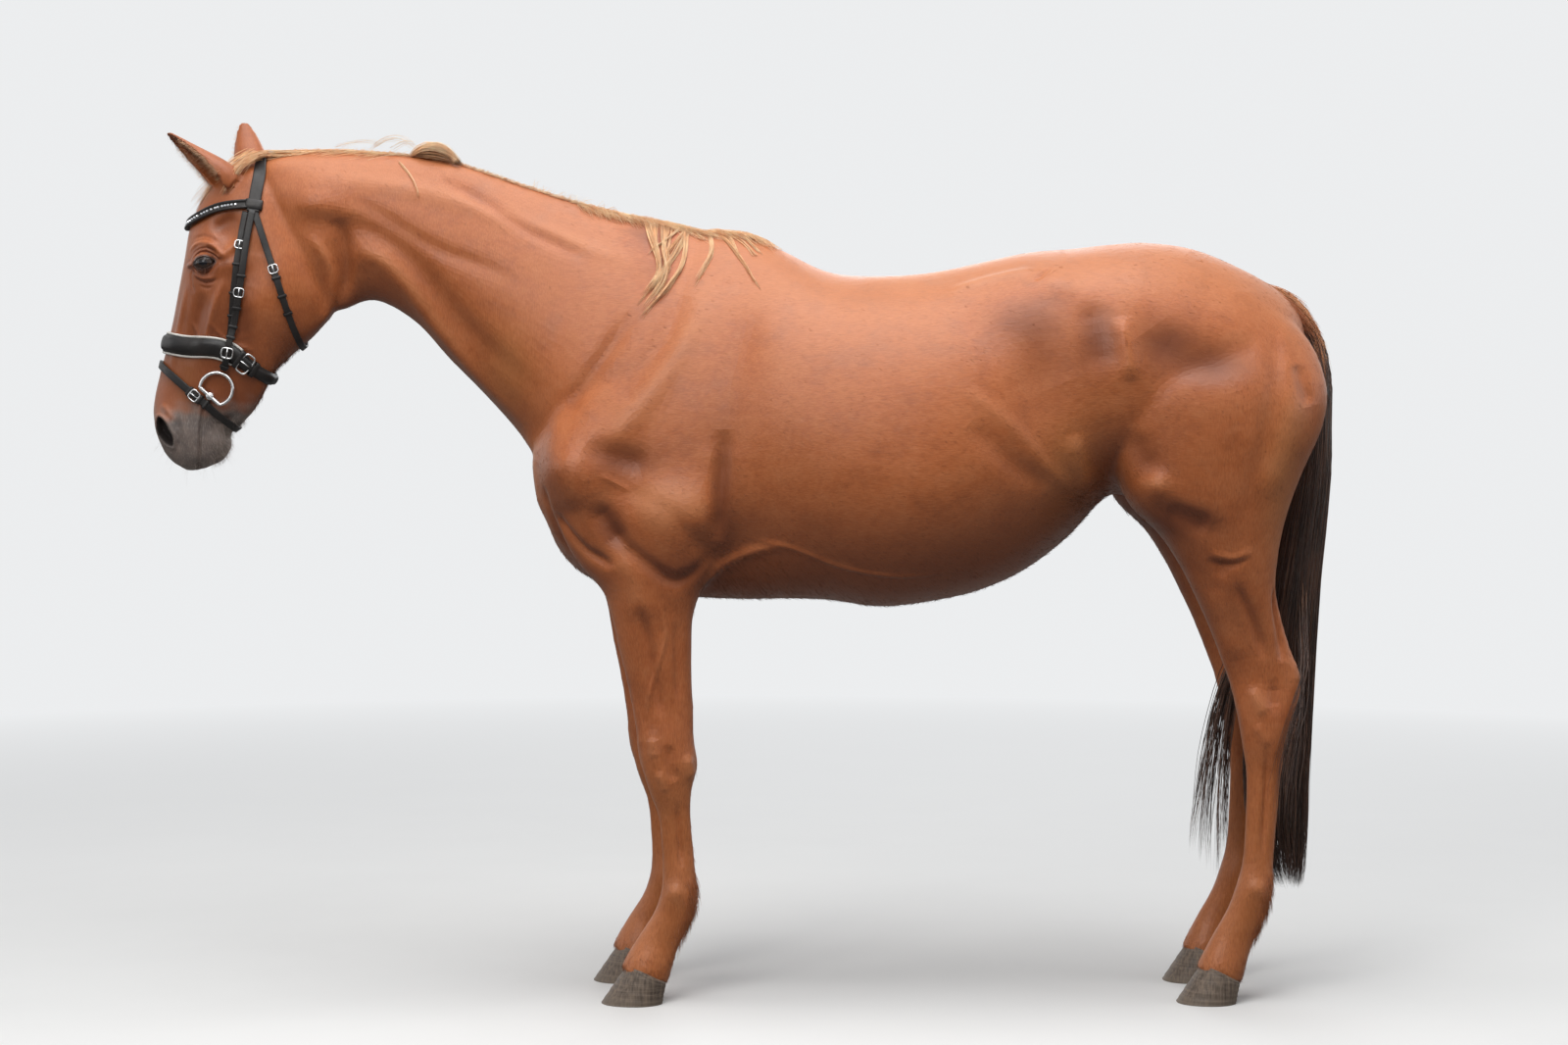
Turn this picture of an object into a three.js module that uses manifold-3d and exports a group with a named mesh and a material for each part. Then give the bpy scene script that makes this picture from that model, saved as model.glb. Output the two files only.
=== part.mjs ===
// A standing riding horse, life size, with its bridle: millimetres, +Z up, -Y forwards, +X the horse's left.
// The origin is on the ground, under the middle of the animal's length.
// The flesh is lofted from named stations, joined into one body and parted with thin cuts.
import * as THREE from 'three';
import { mergeVertices } from 'three/addons/utils/BufferGeometryUtils.js';
import Module from 'manifold-3d';

const wasm = await Module();
wasm.setup();

// Driving dimensions
const seam = 0.4; // gap left where two pieces meet
const smallest = 0.3; // detail under this size is merged away
const foreX = 132; // half the distance between the fore cannons
const hindX = 128; // half the distance between the hind cannons
const foreStagger = 32; // how far the off fore foot stands ahead of the near one
const forePlane = 856; // where the fore legs leave the trunk, just under the chest
const hindPlane = 1078; // where the hind legs leave it, just under the flank
const foreHoof = { x: foreX, toe: -302, heel: -164, width: 128 };
const hindHoof = { x: hindX, toe: 940, heel: 1072, width: 122 };
const eyeRadius = 21;
const eyeAt = new THREE.Vector3(80, -1155, 1593);
const bitAt = [-1134, 1324]; // the D ring's middle, in the side view
const bitRadius = 35;
const bitWire = 4;
const bitLift = 13; // how far the ring stands off the cheek
const bitTurn = 239; // which way the straight bar faces
const maneDepth = 10;
const tailPlane = 1180; // where the tail is divided under the dock

// Colours and finishes
const paint = (color, roughness, metalness = 0) => new THREE.MeshStandardMaterial({ color, roughness, metalness });
const coat = paint('#9a5532', 0.5);
const muzzleSkin = paint('#6f5a50', 0.7);
const paleHair = paint('#c08a5c', 0.6);
const darkHair = paint('#4a2c22', 0.55);
const horn = paint('#4a3a30', 0.6);
const eyeDark = paint('#140d0a', 0.1);
const leather = paint('#1c1715', 0.5);
const steel = paint('#c9ccd0', 0.25, 1);

// ---------------------------------------------------------------- solids from geometry

function solidOf(geometry) {
  const bare = new THREE.BufferGeometry().setAttribute('position', geometry.getAttribute('position'));
  bare.setIndex(geometry.index);
  const merged = mergeVertices(bare, 1e-3);
  const triVerts = new Uint32Array(merged.index.array);
  const make = () => new wasm.Manifold(new wasm.Mesh({
    numProp: 3, vertProperties: merged.attributes.position.array, triVerts,
  }));
  const solid = make();
  if (solid.volume() > 0) return solid;
  for (let i = 0; i < triVerts.length; i += 3) {
    [triVerts[i + 1], triVerts[i + 2]] = [triVerts[i + 2], triVerts[i + 1]];
  }
  return make();
}

function geometryOf(solid) {
  const { numProp, vertProperties, triVerts, numVert } = solid.getMesh();
  const places = new Float32Array(numVert * 3);
  for (let i = 0; i < numVert; i++) {
    places.set(vertProperties.subarray(i * numProp, i * numProp + 3), i * 3);
  }
  const geometry = new THREE.BufferGeometry().setAttribute('position', new THREE.BufferAttribute(places, 3));
  return geometry.setIndex(new THREE.BufferAttribute(triVerts, 1));
}

// The solid with every vertex moved out along its normal, for cutting a neighbour back to a thin gap.
function grown(solid, by = seam) {
  const geometry = geometryOf(solid);
  geometry.computeVertexNormals();
  const { position, normal } = geometry.attributes;
  for (let i = 0; i < position.count; i++) {
    position.setXYZ(i, position.getX(i) + by * normal.getX(i),
      position.getY(i) + by * normal.getY(i), position.getZ(i) + by * normal.getZ(i));
  }
  return solidOf(geometry);
}

const joined = (solids) => solids.reduce((a, b) => a.add(b));
const largest = (solid) => solid.decompose().sort((a, b) => b.volume() - a.volume())[0];

// Joins rings of equal length: with a fan at each end, or round in a loop.
function stackOf(rings, looped = false) {
  const sides = rings[0].length;
  const points = rings.flat();
  const index = [];
  const spans = looped ? rings.length : rings.length - 1;
  for (let i = 0; i < spans; i++) {
    const here = i * sides;
    const next = ((i + 1) % rings.length) * sides;
    for (let j = 0; j < sides; j++) {
      const k = (j + 1) % sides;
      index.push(here + j, next + j, here + k, here + k, next + j, next + k);
    }
  }
  if (!looped) {
    const middle = (ring) => ring.reduce((sum, p) => sum.add(p), new THREE.Vector3()).divideScalar(sides);
    const end = (rings.length - 1) * sides;
    points.push(middle(rings[0]), middle(rings.at(-1)));
    for (let j = 0; j < sides; j++) {
      const k = (j + 1) % sides;
      index.push(points.length - 2, j, k, points.length - 1, end + k, end + j);
    }
  }
  return solidOf(new THREE.BufferGeometry().setFromPoints(points).setIndex(index));
}

// Forms under the skin that swell or sink a flank: the middle, the reach along and across, the turn and the height.
const forms = {
  brow: { at: [-1148, 1628], reach: [36, 16], turn: 20, out: 14 },
  eye: { at: [-1154, 1592], reach: [34, 30], turn: 0, out: 7 },
  temple: { at: [-1106, 1658], reach: [26, 24], turn: 0, out: -9 },
  cheek: { at: [-985, 1530], reach: [96, 72], turn: 75, out: 14 },
  cheekArch: { at: [-1088, 1592], reach: [48, 13], turn: 12, out: 7 },
  faceCrest: { at: [-1136, 1480], reach: [78, 14], turn: 82, out: 7 },
  nostril: { at: [-1262, 1242], reach: [36, 22], turn: 72, out: 9 },
  atlasWing: { at: [-925, 1715], reach: [46, 40], turn: 0, out: 9 },
  throat: { at: [-868, 1590], reach: [80, 34], turn: 70, out: -10 },
  shoulderBlade: { at: [-190, 1390], reach: [200, 46], turn: 62, out: 9 },
  pointOfShoulder: { at: [-352, 1140], reach: [85, 70], turn: 80, out: 20 },
  upperArm: { at: [-112, 1055], reach: [92, 74], turn: 40, out: 24 },
  girth: { at: [20, 960], reach: [60, 90], turn: 0, out: -12 },
  flank: { at: [640, 1330], reach: [80, 120], turn: 0, out: -16 },
  pointOfHip: { at: [664, 1556], reach: [48, 30], turn: -20, out: 18 },
  stifle: { at: [850, 1090], reach: [60, 50], turn: 60, out: 12 },
};

function swell(y, z) {
  let sum = 0;
  for (const { at, reach, turn, out } of Object.values(forms)) {
    const angle = THREE.MathUtils.degToRad(turn);
    const along = (y - at[0]) * Math.cos(angle) + (z - at[1]) * Math.sin(angle);
    const across = (z - at[1]) * Math.cos(angle) - (y - at[0]) * Math.sin(angle);
    sum += out * Math.exp(-((along / reach[0]) ** 2) - (across / reach[1]) ** 2);
  }
  return sum;
}

// A loft through stations seen from the side. Each has its front (or top) and back (or bottom) point as [y, z],
// its half width, how far from front to back it is widest, and how sharp its front and back are (1 is round).
function loft(stations, { rings, sides, side = 1 }) {
  const spline = (pick) => new THREE.SplineCurve(stations.map((s) => new THREE.Vector2(...pick(s))));
  const curves = [
    spline((s) => s.front), spline((s) => s.back), spline((s) => [s.half, s.wide ?? 0.5]),
    spline((s) => [s.sharpFront ?? 1, s.sharpBack ?? 1]), spline((s) => [s.x ?? 0, 0]),
  ];
  const made = [];
  for (let i = 0; i <= rings; i++) {
    const [front, back, girth, edge, off] = curves.map((curve) => curve.getPoint(i / rings));
    const ring = [];
    for (let j = 0; j < sides; j++) {
      const angle = (j / sides) * 2 * Math.PI;
      const [c, s] = [Math.cos(angle), Math.sin(angle)];
      const along = c >= 0 ? girth.y * (1 - c) : girth.y - (1 - girth.y) * c;
      const y = front.x + (back.x - front.x) * along;
      const z = front.y + (back.y - front.y) * along;
      const width = girth.x * Math.abs(s) ** (c >= 0 ? edge.x : edge.y);
      const raised = s > 0 || off.x < 1 ? swell(y, z) * Math.abs(s) : 0;
      ring.push(new THREE.Vector3(side * (off.x + Math.sign(s) * (width + raised)), y, z));
    }
    made.push(ring);
  }
  return stackOf(made);
}

// ---------------------------------------------------------------- the flesh

const trunk = () => loft([
  { front: [-462, 1200], back: [-462, 1110], half: 70 },
  { front: [-446, 1250], back: [-446, 1030], half: 158, sharpBack: 0.9 },
  { front: [-405, 1320], back: [-405, 958], half: 204, wide: 0.45 },
  { front: [-330, 1440], back: [-330, 906], half: 222, wide: 0.52, sharpFront: 1.1 },
  { front: [-230, 1556], back: [-230, 880], half: 232, wide: 0.58, sharpFront: 1.4 },
  { front: [-120, 1640], back: [-120, 866], half: 242, wide: 0.6, sharpFront: 1.7 },
  { front: [0, 1648], back: [0, 861], half: 266, wide: 0.58, sharpFront: 1.75, sharpBack: 0.9 },
  { front: [90, 1616], back: [90, 863], half: 292, wide: 0.56, sharpFront: 1.4, sharpBack: 0.85 },
  { front: [190, 1577], back: [190, 860], half: 312, wide: 0.56, sharpFront: 1.1, sharpBack: 0.85 },
  { front: [300, 1568], back: [300, 846], half: 326, wide: 0.56, sharpFront: 0.98, sharpBack: 0.85 },
  { front: [410, 1575], back: [410, 857], half: 330, wide: 0.56, sharpFront: 0.95, sharpBack: 0.85 },
  { front: [520, 1597], back: [520, 882], half: 318, wide: 0.54, sharpFront: 0.92, sharpBack: 0.88 },
  { front: [620, 1619], back: [620, 928], half: 298, wide: 0.5, sharpFront: 0.88, sharpBack: 0.9 },
  { front: [710, 1627], back: [710, 996], half: 282, wide: 0.46, sharpFront: 0.9 },
  { front: [800, 1637], back: [800, 1088], half: 274, wide: 0.48, sharpFront: 0.94 },
  { front: [880, 1641], back: [880, 1062], half: 268, wide: 0.5, sharpFront: 0.97 },
  { front: [980, 1627], back: [980, 1020], half: 256, wide: 0.5, sharpFront: 1 },
  { front: [1080, 1587], back: [1080, 1040], half: 234, wide: 0.48 },
  { front: [1160, 1542], back: [1160, 1090], half: 190, wide: 0.46 },
  { front: [1206, 1498], back: [1202, 1180], half: 128, wide: 0.46 },
  { front: [1226, 1450], back: [1216, 1300], half: 50 },
], { rings: 25, sides: 20 });

const neck = () => loft([
  { front: [-1062, 1800], back: [-930, 1520], half: 56, wide: 0.35 },
  { front: [-1030, 1824], back: [-885, 1488], half: 74, wide: 0.36, sharpFront: 0.95 },
  { front: [-945, 1828], back: [-800, 1512], half: 84, wide: 0.42, sharpFront: 1.15 },
  { front: [-800, 1820], back: [-712, 1466], half: 84, wide: 0.5, sharpFront: 1.35 },
  { front: [-640, 1806], back: [-640, 1388], half: 92, wide: 0.54, sharpFront: 1.5 },
  { front: [-480, 1752], back: [-565, 1312], half: 112, wide: 0.58, sharpFront: 1.6 },
  { front: [-320, 1706], back: [-490, 1228], half: 142, wide: 0.62, sharpFront: 1.7 },
  { front: [-160, 1674], back: [-418, 1130], half: 180, wide: 0.64, sharpFront: 1.8 },
  { front: [0, 1636], back: [-330, 1040], half: 205, wide: 0.62, sharpFront: 1.8 },
], { rings: 11, sides: 18 });

const skull = () => loft([
  { front: [-1040, 1796], back: [-960, 1700], half: 40 },
  { front: [-1074, 1818], back: [-908, 1600], half: 66, wide: 0.4 },
  { front: [-1128, 1786], back: [-888, 1500], half: 84, wide: 0.4, sharpFront: 0.85 },
  { front: [-1172, 1734], back: [-900, 1440], half: 90, wide: 0.4, sharpFront: 0.8, sharpBack: 0.85 },
  { front: [-1199, 1675], back: [-936, 1412], half: 94, wide: 0.4, sharpFront: 0.75, sharpBack: 0.85 },
  { front: [-1212, 1607], back: [-980, 1384], half: 90, wide: 0.36, sharpFront: 0.78, sharpBack: 0.85 },
  { front: [-1226, 1540], back: [-1018, 1350], half: 80, wide: 0.42, sharpFront: 0.85, sharpBack: 0.85 },
  { front: [-1240, 1474], back: [-1052, 1312], half: 69, wide: 0.48, sharpFront: 0.95, sharpBack: 0.85 },
  { front: [-1254, 1416], back: [-1078, 1280], half: 62, wide: 0.5, sharpFront: 1, sharpBack: 0.9 },
  { front: [-1270, 1356], back: [-1100, 1250], half: 56, wide: 0.5, sharpFront: 0.95, sharpBack: 0.9 },
  { front: [-1282, 1300], back: [-1114, 1224], half: 56, wide: 0.45, sharpFront: 0.8 },
  { front: [-1284, 1258], back: [-1112, 1202], half: 59, wide: 0.38, sharpFront: 0.75 },
  { front: [-1276, 1218], back: [-1117, 1184], half: 56, wide: 0.4, sharpFront: 0.8 },
  { front: [-1252, 1182], back: [-1138, 1166], half: 46, wide: 0.45 },
  { front: [-1212, 1151], back: [-1182, 1150], half: 22 },
], { rings: 22, sides: 16 });

// The off fore foot stands a little ahead of the near one.
const ahead = (side, z) => (side > 0 ? 0 : THREE.MathUtils.mapLinear(z, 1100, 100, 8, foreStagger));

const foreLeg = (side) => loft([
  { front: [-400, 1200], back: [-120, 1230], half: 40, x: 150 },
  { front: [-412, 1120], back: [-60, 1140], half: 76, x: 146 },
  { front: [-396, 1030], back: [-42, 1030], half: 86, x: 142, wide: 0.55 },
  { front: [-352, 950], back: [-46, 950], half: 82, x: 140, wide: 0.6 },
  { front: [-300, 890], back: [-82, 890], half: 72, x: 140, wide: 0.55 },
  { front: [-280, 835], back: [-101, 835], half: 63, x: 140 },
  { front: [-265, 766], back: [-104, 766], half: 56, x: 138 },
  { front: [-249, 701], back: [-104, 701], half: 49, x: 137 },
  { front: [-235, 632], back: [-101, 632], half: 43, x: 136 },
  { front: [-225, 573], back: [-100, 573], half: 46, x: 136, sharpFront: 0.8 },
  { front: [-215, 512], back: [-92, 514], half: 48, x: 136, sharpFront: 0.75, wide: 0.4 },
  { front: [-200, 458], back: [-104, 462], half: 40, x: 135, sharpFront: 0.8, wide: 0.4 },
  { front: [-181, 404], back: [-107, 410], half: 27, x: 134 },
  { front: [-174, 340], back: [-102, 345], half: 25, x: foreX },
  { front: [-171, 284], back: [-97, 288], half: 29, x: foreX },
  { front: [-176, 236], back: [-94, 230], half: 37, x: foreX },
  { front: [-192, 192], back: [-106, 176], half: 33, x: foreX },
  { front: [-222, 146], back: [-134, 118], half: 33, x: foreX },
  { front: [-250, 100], back: [-150, 66], half: 47, x: foreX },
  { front: [-262, 72], back: [-158, 40], half: 50, x: foreX },
].map((s) => ({
  ...s,
  front: [s.front[0] - ahead(side, s.front[1]), s.front[1]],
  back: [s.back[0] - ahead(side, s.back[1]), s.back[1]],
})), { rings: 25, sides: 10, side });

const hindLeg = (side) => loft([
  { front: [800, 1530], back: [1060, 1535], half: 84, x: 96 },
  { front: [740, 1430], back: [1196, 1430], half: 108, x: 122, wide: 0.42 },
  { front: [742, 1330], back: [1262, 1330], half: 136, x: 138, wide: 0.42, sharpBack: 0.85 },
  { front: [770, 1230], back: [1244, 1245], half: 140, x: 142, wide: 0.42, sharpBack: 0.85 },
  { front: [798, 1140], back: [1204, 1150], half: 134, x: 142, wide: 0.42, sharpBack: 0.85 },
  { front: [832, 1070], back: [1174, 1070], half: 120, x: 146, wide: 0.42, sharpBack: 0.9 },
  { front: [893, 1010], back: [1156, 1000], half: 99, x: 150, wide: 0.45 },
  { front: [936, 946], back: [1147, 935], half: 82, x: 150 },
  { front: [965, 890], back: [1147, 885], half: 70, x: 148 },
  { front: [1000, 815], back: [1163, 820], half: 54, x: 140 },
  { front: [1026, 750], back: [1186, 750], half: 44, x: 134, wide: 0.42 },
  { front: [1050, 684], back: [1199, 696], half: 42, x: hindX, wide: 0.38 },
  { front: [1068, 618], back: [1186, 636], half: 46, x: hindX, wide: 0.38, sharpFront: 0.8 },
  { front: [1078, 560], back: [1164, 570], half: 42, x: hindX, sharpFront: 0.85 },
  { front: [1092, 498], back: [1152, 498], half: 29, x: hindX },
  { front: [1091, 420], back: [1149, 420], half: 27, x: hindX },
  { front: [1082, 310], back: [1144, 312], half: 28, x: hindX },
  { front: [1064, 248], back: [1146, 240], half: 37, x: hindX },
  { front: [1046, 200], back: [1132, 184], half: 33, x: hindX },
  { front: [1018, 150], back: [1104, 122], half: 33, x: hindX },
  { front: [992, 100], back: [1088, 66], half: 46, x: hindX },
  { front: [980, 72], back: [1080, 40], half: 48, x: hindX },
], { rings: 28, sides: 10, side });

// A hoof: the coronet, the slope of the wall and a flat sole on the ground.
function hoof({ x, toe, heel, width }, side) {
  const length = heel - toe;
  const ring = (ahead, behind, zFront, zBack, share) => ({
    front: [toe + ahead * length, zFront], back: [heel + behind * length, zBack],
    half: width * share, x, wide: 0.55, sharpFront: 0.85,
  });
  return loft([
    ring(0.47, -0.02, 92, 52, 0.36), ring(0.42, 0.04, 88, 46, 0.42),
    ring(0.2, 0.02, 40, 22, 0.465), ring(0, 0, -4, -4, 0.5),
  ], { rings: 4, sides: 14, side }).trimByPlane([0, 0, 1], 0);
}

// An ear: a leaf-shaped shell with its hollow towards the way it faces.
function ear(base, tip, facing) {
  const axis = tip.clone().sub(base);
  const across = axis.clone().cross(facing).normalize();
  const open = across.clone().cross(axis).normalize();
  const outline = new THREE.SplineCurve([
    [0, 28], [0.12, 33], [0.3, 34], [0.5, 28], [0.7, 20], [0.86, 12], [1, 2],
  ].map(([t, half]) => new THREE.Vector2(t, half)));
  const shell = (thinner, shift, from) => {
    const rings = [];
    for (let i = 0; i <= 7; i++) {
      const { x: t, y: half } = outline.getPoint(from + (1 - from) * (i / 7));
      const middle = base.clone().addScaledVector(axis, t).addScaledVector(open, shift * half);
      const wide = Math.max(half - thinner, 0.5);
      const ring = [];
      for (let j = 0; j < 8; j++) {
        const angle = (j / 8) * 2 * Math.PI;
        ring.push(middle.clone().addScaledVector(across, wide * Math.sin(angle))
          .addScaledVector(open, wide * (0.9 - 0.2 * t) * Math.cos(angle)));
      }
      rings.push(ring);
    }
    return stackOf(rings);
  };
  return largest(shell(0, 0, 0).subtract(shell(5, 0.55, 0.18)));
}

// ---------------------------------------------------------------- parting the body

const box = (x, y, z) => solidOf(new THREE.BoxGeometry(x[1] - x[0], y[1] - y[0], z[1] - z[0])
  .translate((x[0] + x[1]) / 2, (y[0] + y[1]) / 2, (z[0] + z[1]) / 2));

// Cuts along the plane that stands on the side view's line a-b: [what lies ahead of it, what lies behind].
function parted(solid, a, b) {
  const normal = new THREE.Vector3(0, a[1] - b[1], b[0] - a[0]).normalize();
  const offset = normal.y * a[0] + normal.z * a[1];
  const front = solid.trimByPlane(normal.clone().negate().toArray(), -offset + seam / 2);
  return [largest(front), solid.trimByPlane(normal.toArray(), offset + seam / 2)];
}

// Takes what lies in the box out of the solid: [the piece, the rest].
function taken(solid, x, y, z) {
  const wider = box(...[x, y, z].map(([low, high]) => [low - seam, high + seam]));
  return [largest(solid.intersect(box(x, y, z))), solid.subtract(wider)];
}

// A slab as wide as the given x range, with an outline in the side view.
function prism(outline, x) {
  const shape = new THREE.Shape(outline.map(([y, z]) => new THREE.Vector2(y, z)));
  const slab = new THREE.ExtrudeGeometry(shape, { depth: x[1] - x[0], bevelEnabled: false });
  return solidOf(slab.applyMatrix4(new THREE.Matrix4().makeBasis(
    new THREE.Vector3(0, 1, 0), new THREE.Vector3(0, 0, 1), new THREE.Vector3(1, 0, 0),
  )).translate(x[0], 0, 0));
}

const sideNames = [['left', 1], ['right', -1]];
const flesh = {};
const hooves = {};
for (const [name, side] of sideNames) {
  const shifted = { ...foreHoof, toe: foreHoof.toe - ahead(side, 0), heel: foreHoof.heel - ahead(side, 0) };
  hooves[`hoof_fore_${name}`] = hoof(shifted, side);
  hooves[`hoof_hind_${name}`] = hoof(hindHoof, side);
}

const lofts = { trunk: trunk(), neck: neck(), skull: skull() };
const whole = joined([...Object.values(lofts), foreLeg(1), foreLeg(-1), hindLeg(1), hindLeg(-1)]);

// ---------------------------------------------------------------- what lies on the surface

const surface = new THREE.Mesh(geometryOf(whole));
surface.geometry.computeVertexNormals();
const caster = new THREE.Raycaster();

function touched(from, towards) {
  caster.set(from, towards.clone().normalize());
  const hit = caster.intersectObject(surface)[0];
  return { place: hit.point, out: (hit.normal ?? hit.face.normal).clone().normalize() };
}

// Sweeps a flat section through places on the surface. Width, thickness and lift may change along the way.
function strap(frames, { looped = false } = {}) {
  const count = frames.length;
  return stackOf(frames.map(({ place, out, width, thick, lift }, i) => {
    const before = frames[looped ? (i + count - 1) % count : Math.max(i - 1, 0)].place;
    const after = frames[looped ? (i + 1) % count : Math.min(i + 1, count - 1)].place;
    const along = after.clone().sub(before).normalize();
    const across = along.clone().cross(out).normalize();
    const up = across.clone().cross(along).normalize();
    return [[-1, 0], [1, 0], [1, 1], [-1, 1]].map(([s, t]) => place.clone()
      .addScaledVector(across, (s * width) / 2).addScaledVector(up, lift + t * thick));
  }), looped);
}

// Places round the body in the plane that stands on the side view's line front-back, angle 0 being at the front.
// The bend bows the plane where it passes the cheeks.
function around({ front, back, bend = 0, from = 0, to = 360, count, width, thick, lift }) {
  const middle = new THREE.Vector2((front[0] + back[0]) / 2, (front[1] + back[1]) / 2);
  const line = new THREE.Vector2(front[0] - back[0], front[1] - back[1]).normalize();
  const looped = to - from === 360;
  const frames = [];
  for (let i = 0; i < count; i++) {
    const share = i / (looped ? count : count - 1);
    const angle = THREE.MathUtils.degToRad(from + (to - from) * share);
    const bow = bend * Math.sin(angle) ** 2;
    const base = new THREE.Vector3(0, middle.x + bow * line.y, middle.y - bow * line.x);
    const way = new THREE.Vector3(Math.sin(angle), line.x * Math.cos(angle), line.y * Math.cos(angle));
    const size = typeof width === 'function' ? width(angle) : width;
    frames.push({ ...touched(base.addScaledVector(way, 600), way.negate()), width: size, thick, lift });
  }
  return strap(frames, { looped });
}

// Places down the left side through side-view points [y, z, lift].
function sideStrap(points, { width, thick, count }) {
  const way = new THREE.CatmullRomCurve3(points.map(([y, z, lift]) => new THREE.Vector3(y, z, lift)));
  const frames = way.getSpacedPoints(count - 1).map((p) => (
    { ...touched(new THREE.Vector3(600, p.x, p.y), new THREE.Vector3(-1, 0, 0)), width, thick, lift: p.z }));
  return strap(frames);
}

const mirrored = (solid) => solidOf(geometryOf(solid).scale(-1, 1, 1));

const noseWidth = (angle) => THREE.MathUtils.mapLinear(Math.cos(angle), 1, -1, 46, 30);
const cheekLine = { width: 14, thick: 3.5, count: 18 };
const cheekpiece = sideStrap([
  [-1058, 1694, 8], [-1068, 1610, 8], [-1082, 1510, 8], [-1095, 1456, 9], [-1104, 1420, 17], [-1110, 1388, 17],
  [-1118, 1366, 9],
], cheekLine);
const noseStrap = sideStrap([
  [-1066, 1692, 3], [-1080, 1610, 3], [-1092, 1510, 3], [-1099, 1456, 3], [-1102, 1438, 3],
], { ...cheekLine, count: 12 });
const bridle = {
  headpiece: around({
    front: [-1034, 1830], back: [-1068, 1560], from: -84, to: 84, count: 19, width: 26, thick: 4.5, lift: 5.5,
  }),
  browband: around({
    front: [-1198, 1672], back: [-1030, 1712], bend: -8, from: -112, to: 112, count: 23, width: 20, thick: 5, lift: 8,
  }),
  throatlatch: around({
    front: [-1066, 1760], back: [-950, 1386], bend: 4, from: 52, to: 308, count: 29, width: 15, thick: 4, lift: 5.5,
  }),
  noseband: around({
    front: [-1246, 1420], back: [-1012, 1338], bend: 30, count: 28, width: noseWidth, thick: 10, lift: 4.5,
  }),
  flash_strap: around({
    front: [-1262, 1376], back: [-1100, 1236], bend: 0, count: 26, width: 17, thick: 4, lift: 4,
  }),
  cheekpiece_left: cheekpiece,
  cheekpiece_right: mirrored(cheekpiece),
  noseband_strap_left: noseStrap,
  noseband_strap_right: mirrored(noseStrap),
};

// The snaffle's D ring: an arc closed by a straight bar, with the end of the mouthpiece running in from the bar.
function bitRing() {
  const centre = touched(new THREE.Vector3(600, ...bitAt), new THREE.Vector3(-1, 0, 0));
  const middle = centre.place.clone().addScaledVector(centre.out, bitLift);
  const out = centre.out.clone().setZ(0).normalize();
  const level = new THREE.Vector3(0, 0, 1).cross(out).normalize(); // backwards along the cheek
  const bar = THREE.MathUtils.degToRad(bitTurn);
  const ring = [];
  for (let i = 0; i < 16; i++) {
    const angle = bar + THREE.MathUtils.degToRad(THREE.MathUtils.mapLinear(i, 0, 15, 52, 308));
    ring.push(middle.clone().addScaledVector(level, bitRadius * Math.cos(angle))
      .addScaledVector(new THREE.Vector3(0, 0, 1), bitRadius * Math.sin(angle)));
  }
  const rings = ring.map((p, i) => {
    const along = ring[(i + 1) % 16].clone().sub(ring[(i + 15) % 16]).normalize();
    const across = along.clone().cross(out).normalize();
    return Array.from({ length: 6 }, (_, j) => p.clone()
      .addScaledVector(out, bitWire * Math.cos((j * Math.PI) / 3))
      .addScaledVector(across, bitWire * Math.sin((j * Math.PI) / 3)));
  });
  const barMiddle = ring[0].clone().add(ring[15]).divideScalar(2);
  const stub = new THREE.CylinderGeometry(7, 7, 26, 8).rotateZ(Math.PI / 2)
    .translate(barMiddle.x - 12, barMiddle.y, barMiddle.z);
  return stackOf(rings, true).add(solidOf(stub));
}

const bit = { bit_ring_left: bitRing() };
bit.bit_ring_right = mirrored(bit.bit_ring_left);

// ---------------------------------------------------------------- hair, ears and eyes

// The mane lies over the crest and falls on the off side, in locks of uneven length: [place along the crest as
// y, height of the crest, length of the fall].
function maneSheet(stations) {
  const line = new THREE.CatmullRomCurve3(stations.map((s) => new THREE.Vector3(...s)));
  const rings = [];
  for (let i = 0; i <= 22; i++) {
    const { x: y, y: crest, z: fall } = line.getPoint(i / 22);
    const lean = -0.25 * fall; // the locks hang a little backwards
    const hits = [50, 0, -45].map((turn) => {
      const way = new THREE.Vector3(Math.sin(THREE.MathUtils.degToRad(turn)), 0, Math.cos(THREE.MathUtils.degToRad(turn)));
      return touched(new THREE.Vector3(0, y, crest - 40).addScaledVector(way, 400), way.negate());
    });
    for (const share of [0.35, 0.68, 1]) {
      hits.push(touched(new THREE.Vector3(-600, y - lean * share, crest - fall * share), new THREE.Vector3(1, 0, 0)));
    }
    const depths = [7.5, maneDepth, maneDepth + 2, maneDepth + 3, maneDepth + 1, 8];
    const layer = (far) => hits.map(({ place, out }, k) => place.clone().addScaledVector(out, far ? depths[k] : 5));
    rings.push([...layer(true), ...layer(false).reverse()]);
  }
  return stackOf(rings);
}

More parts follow.
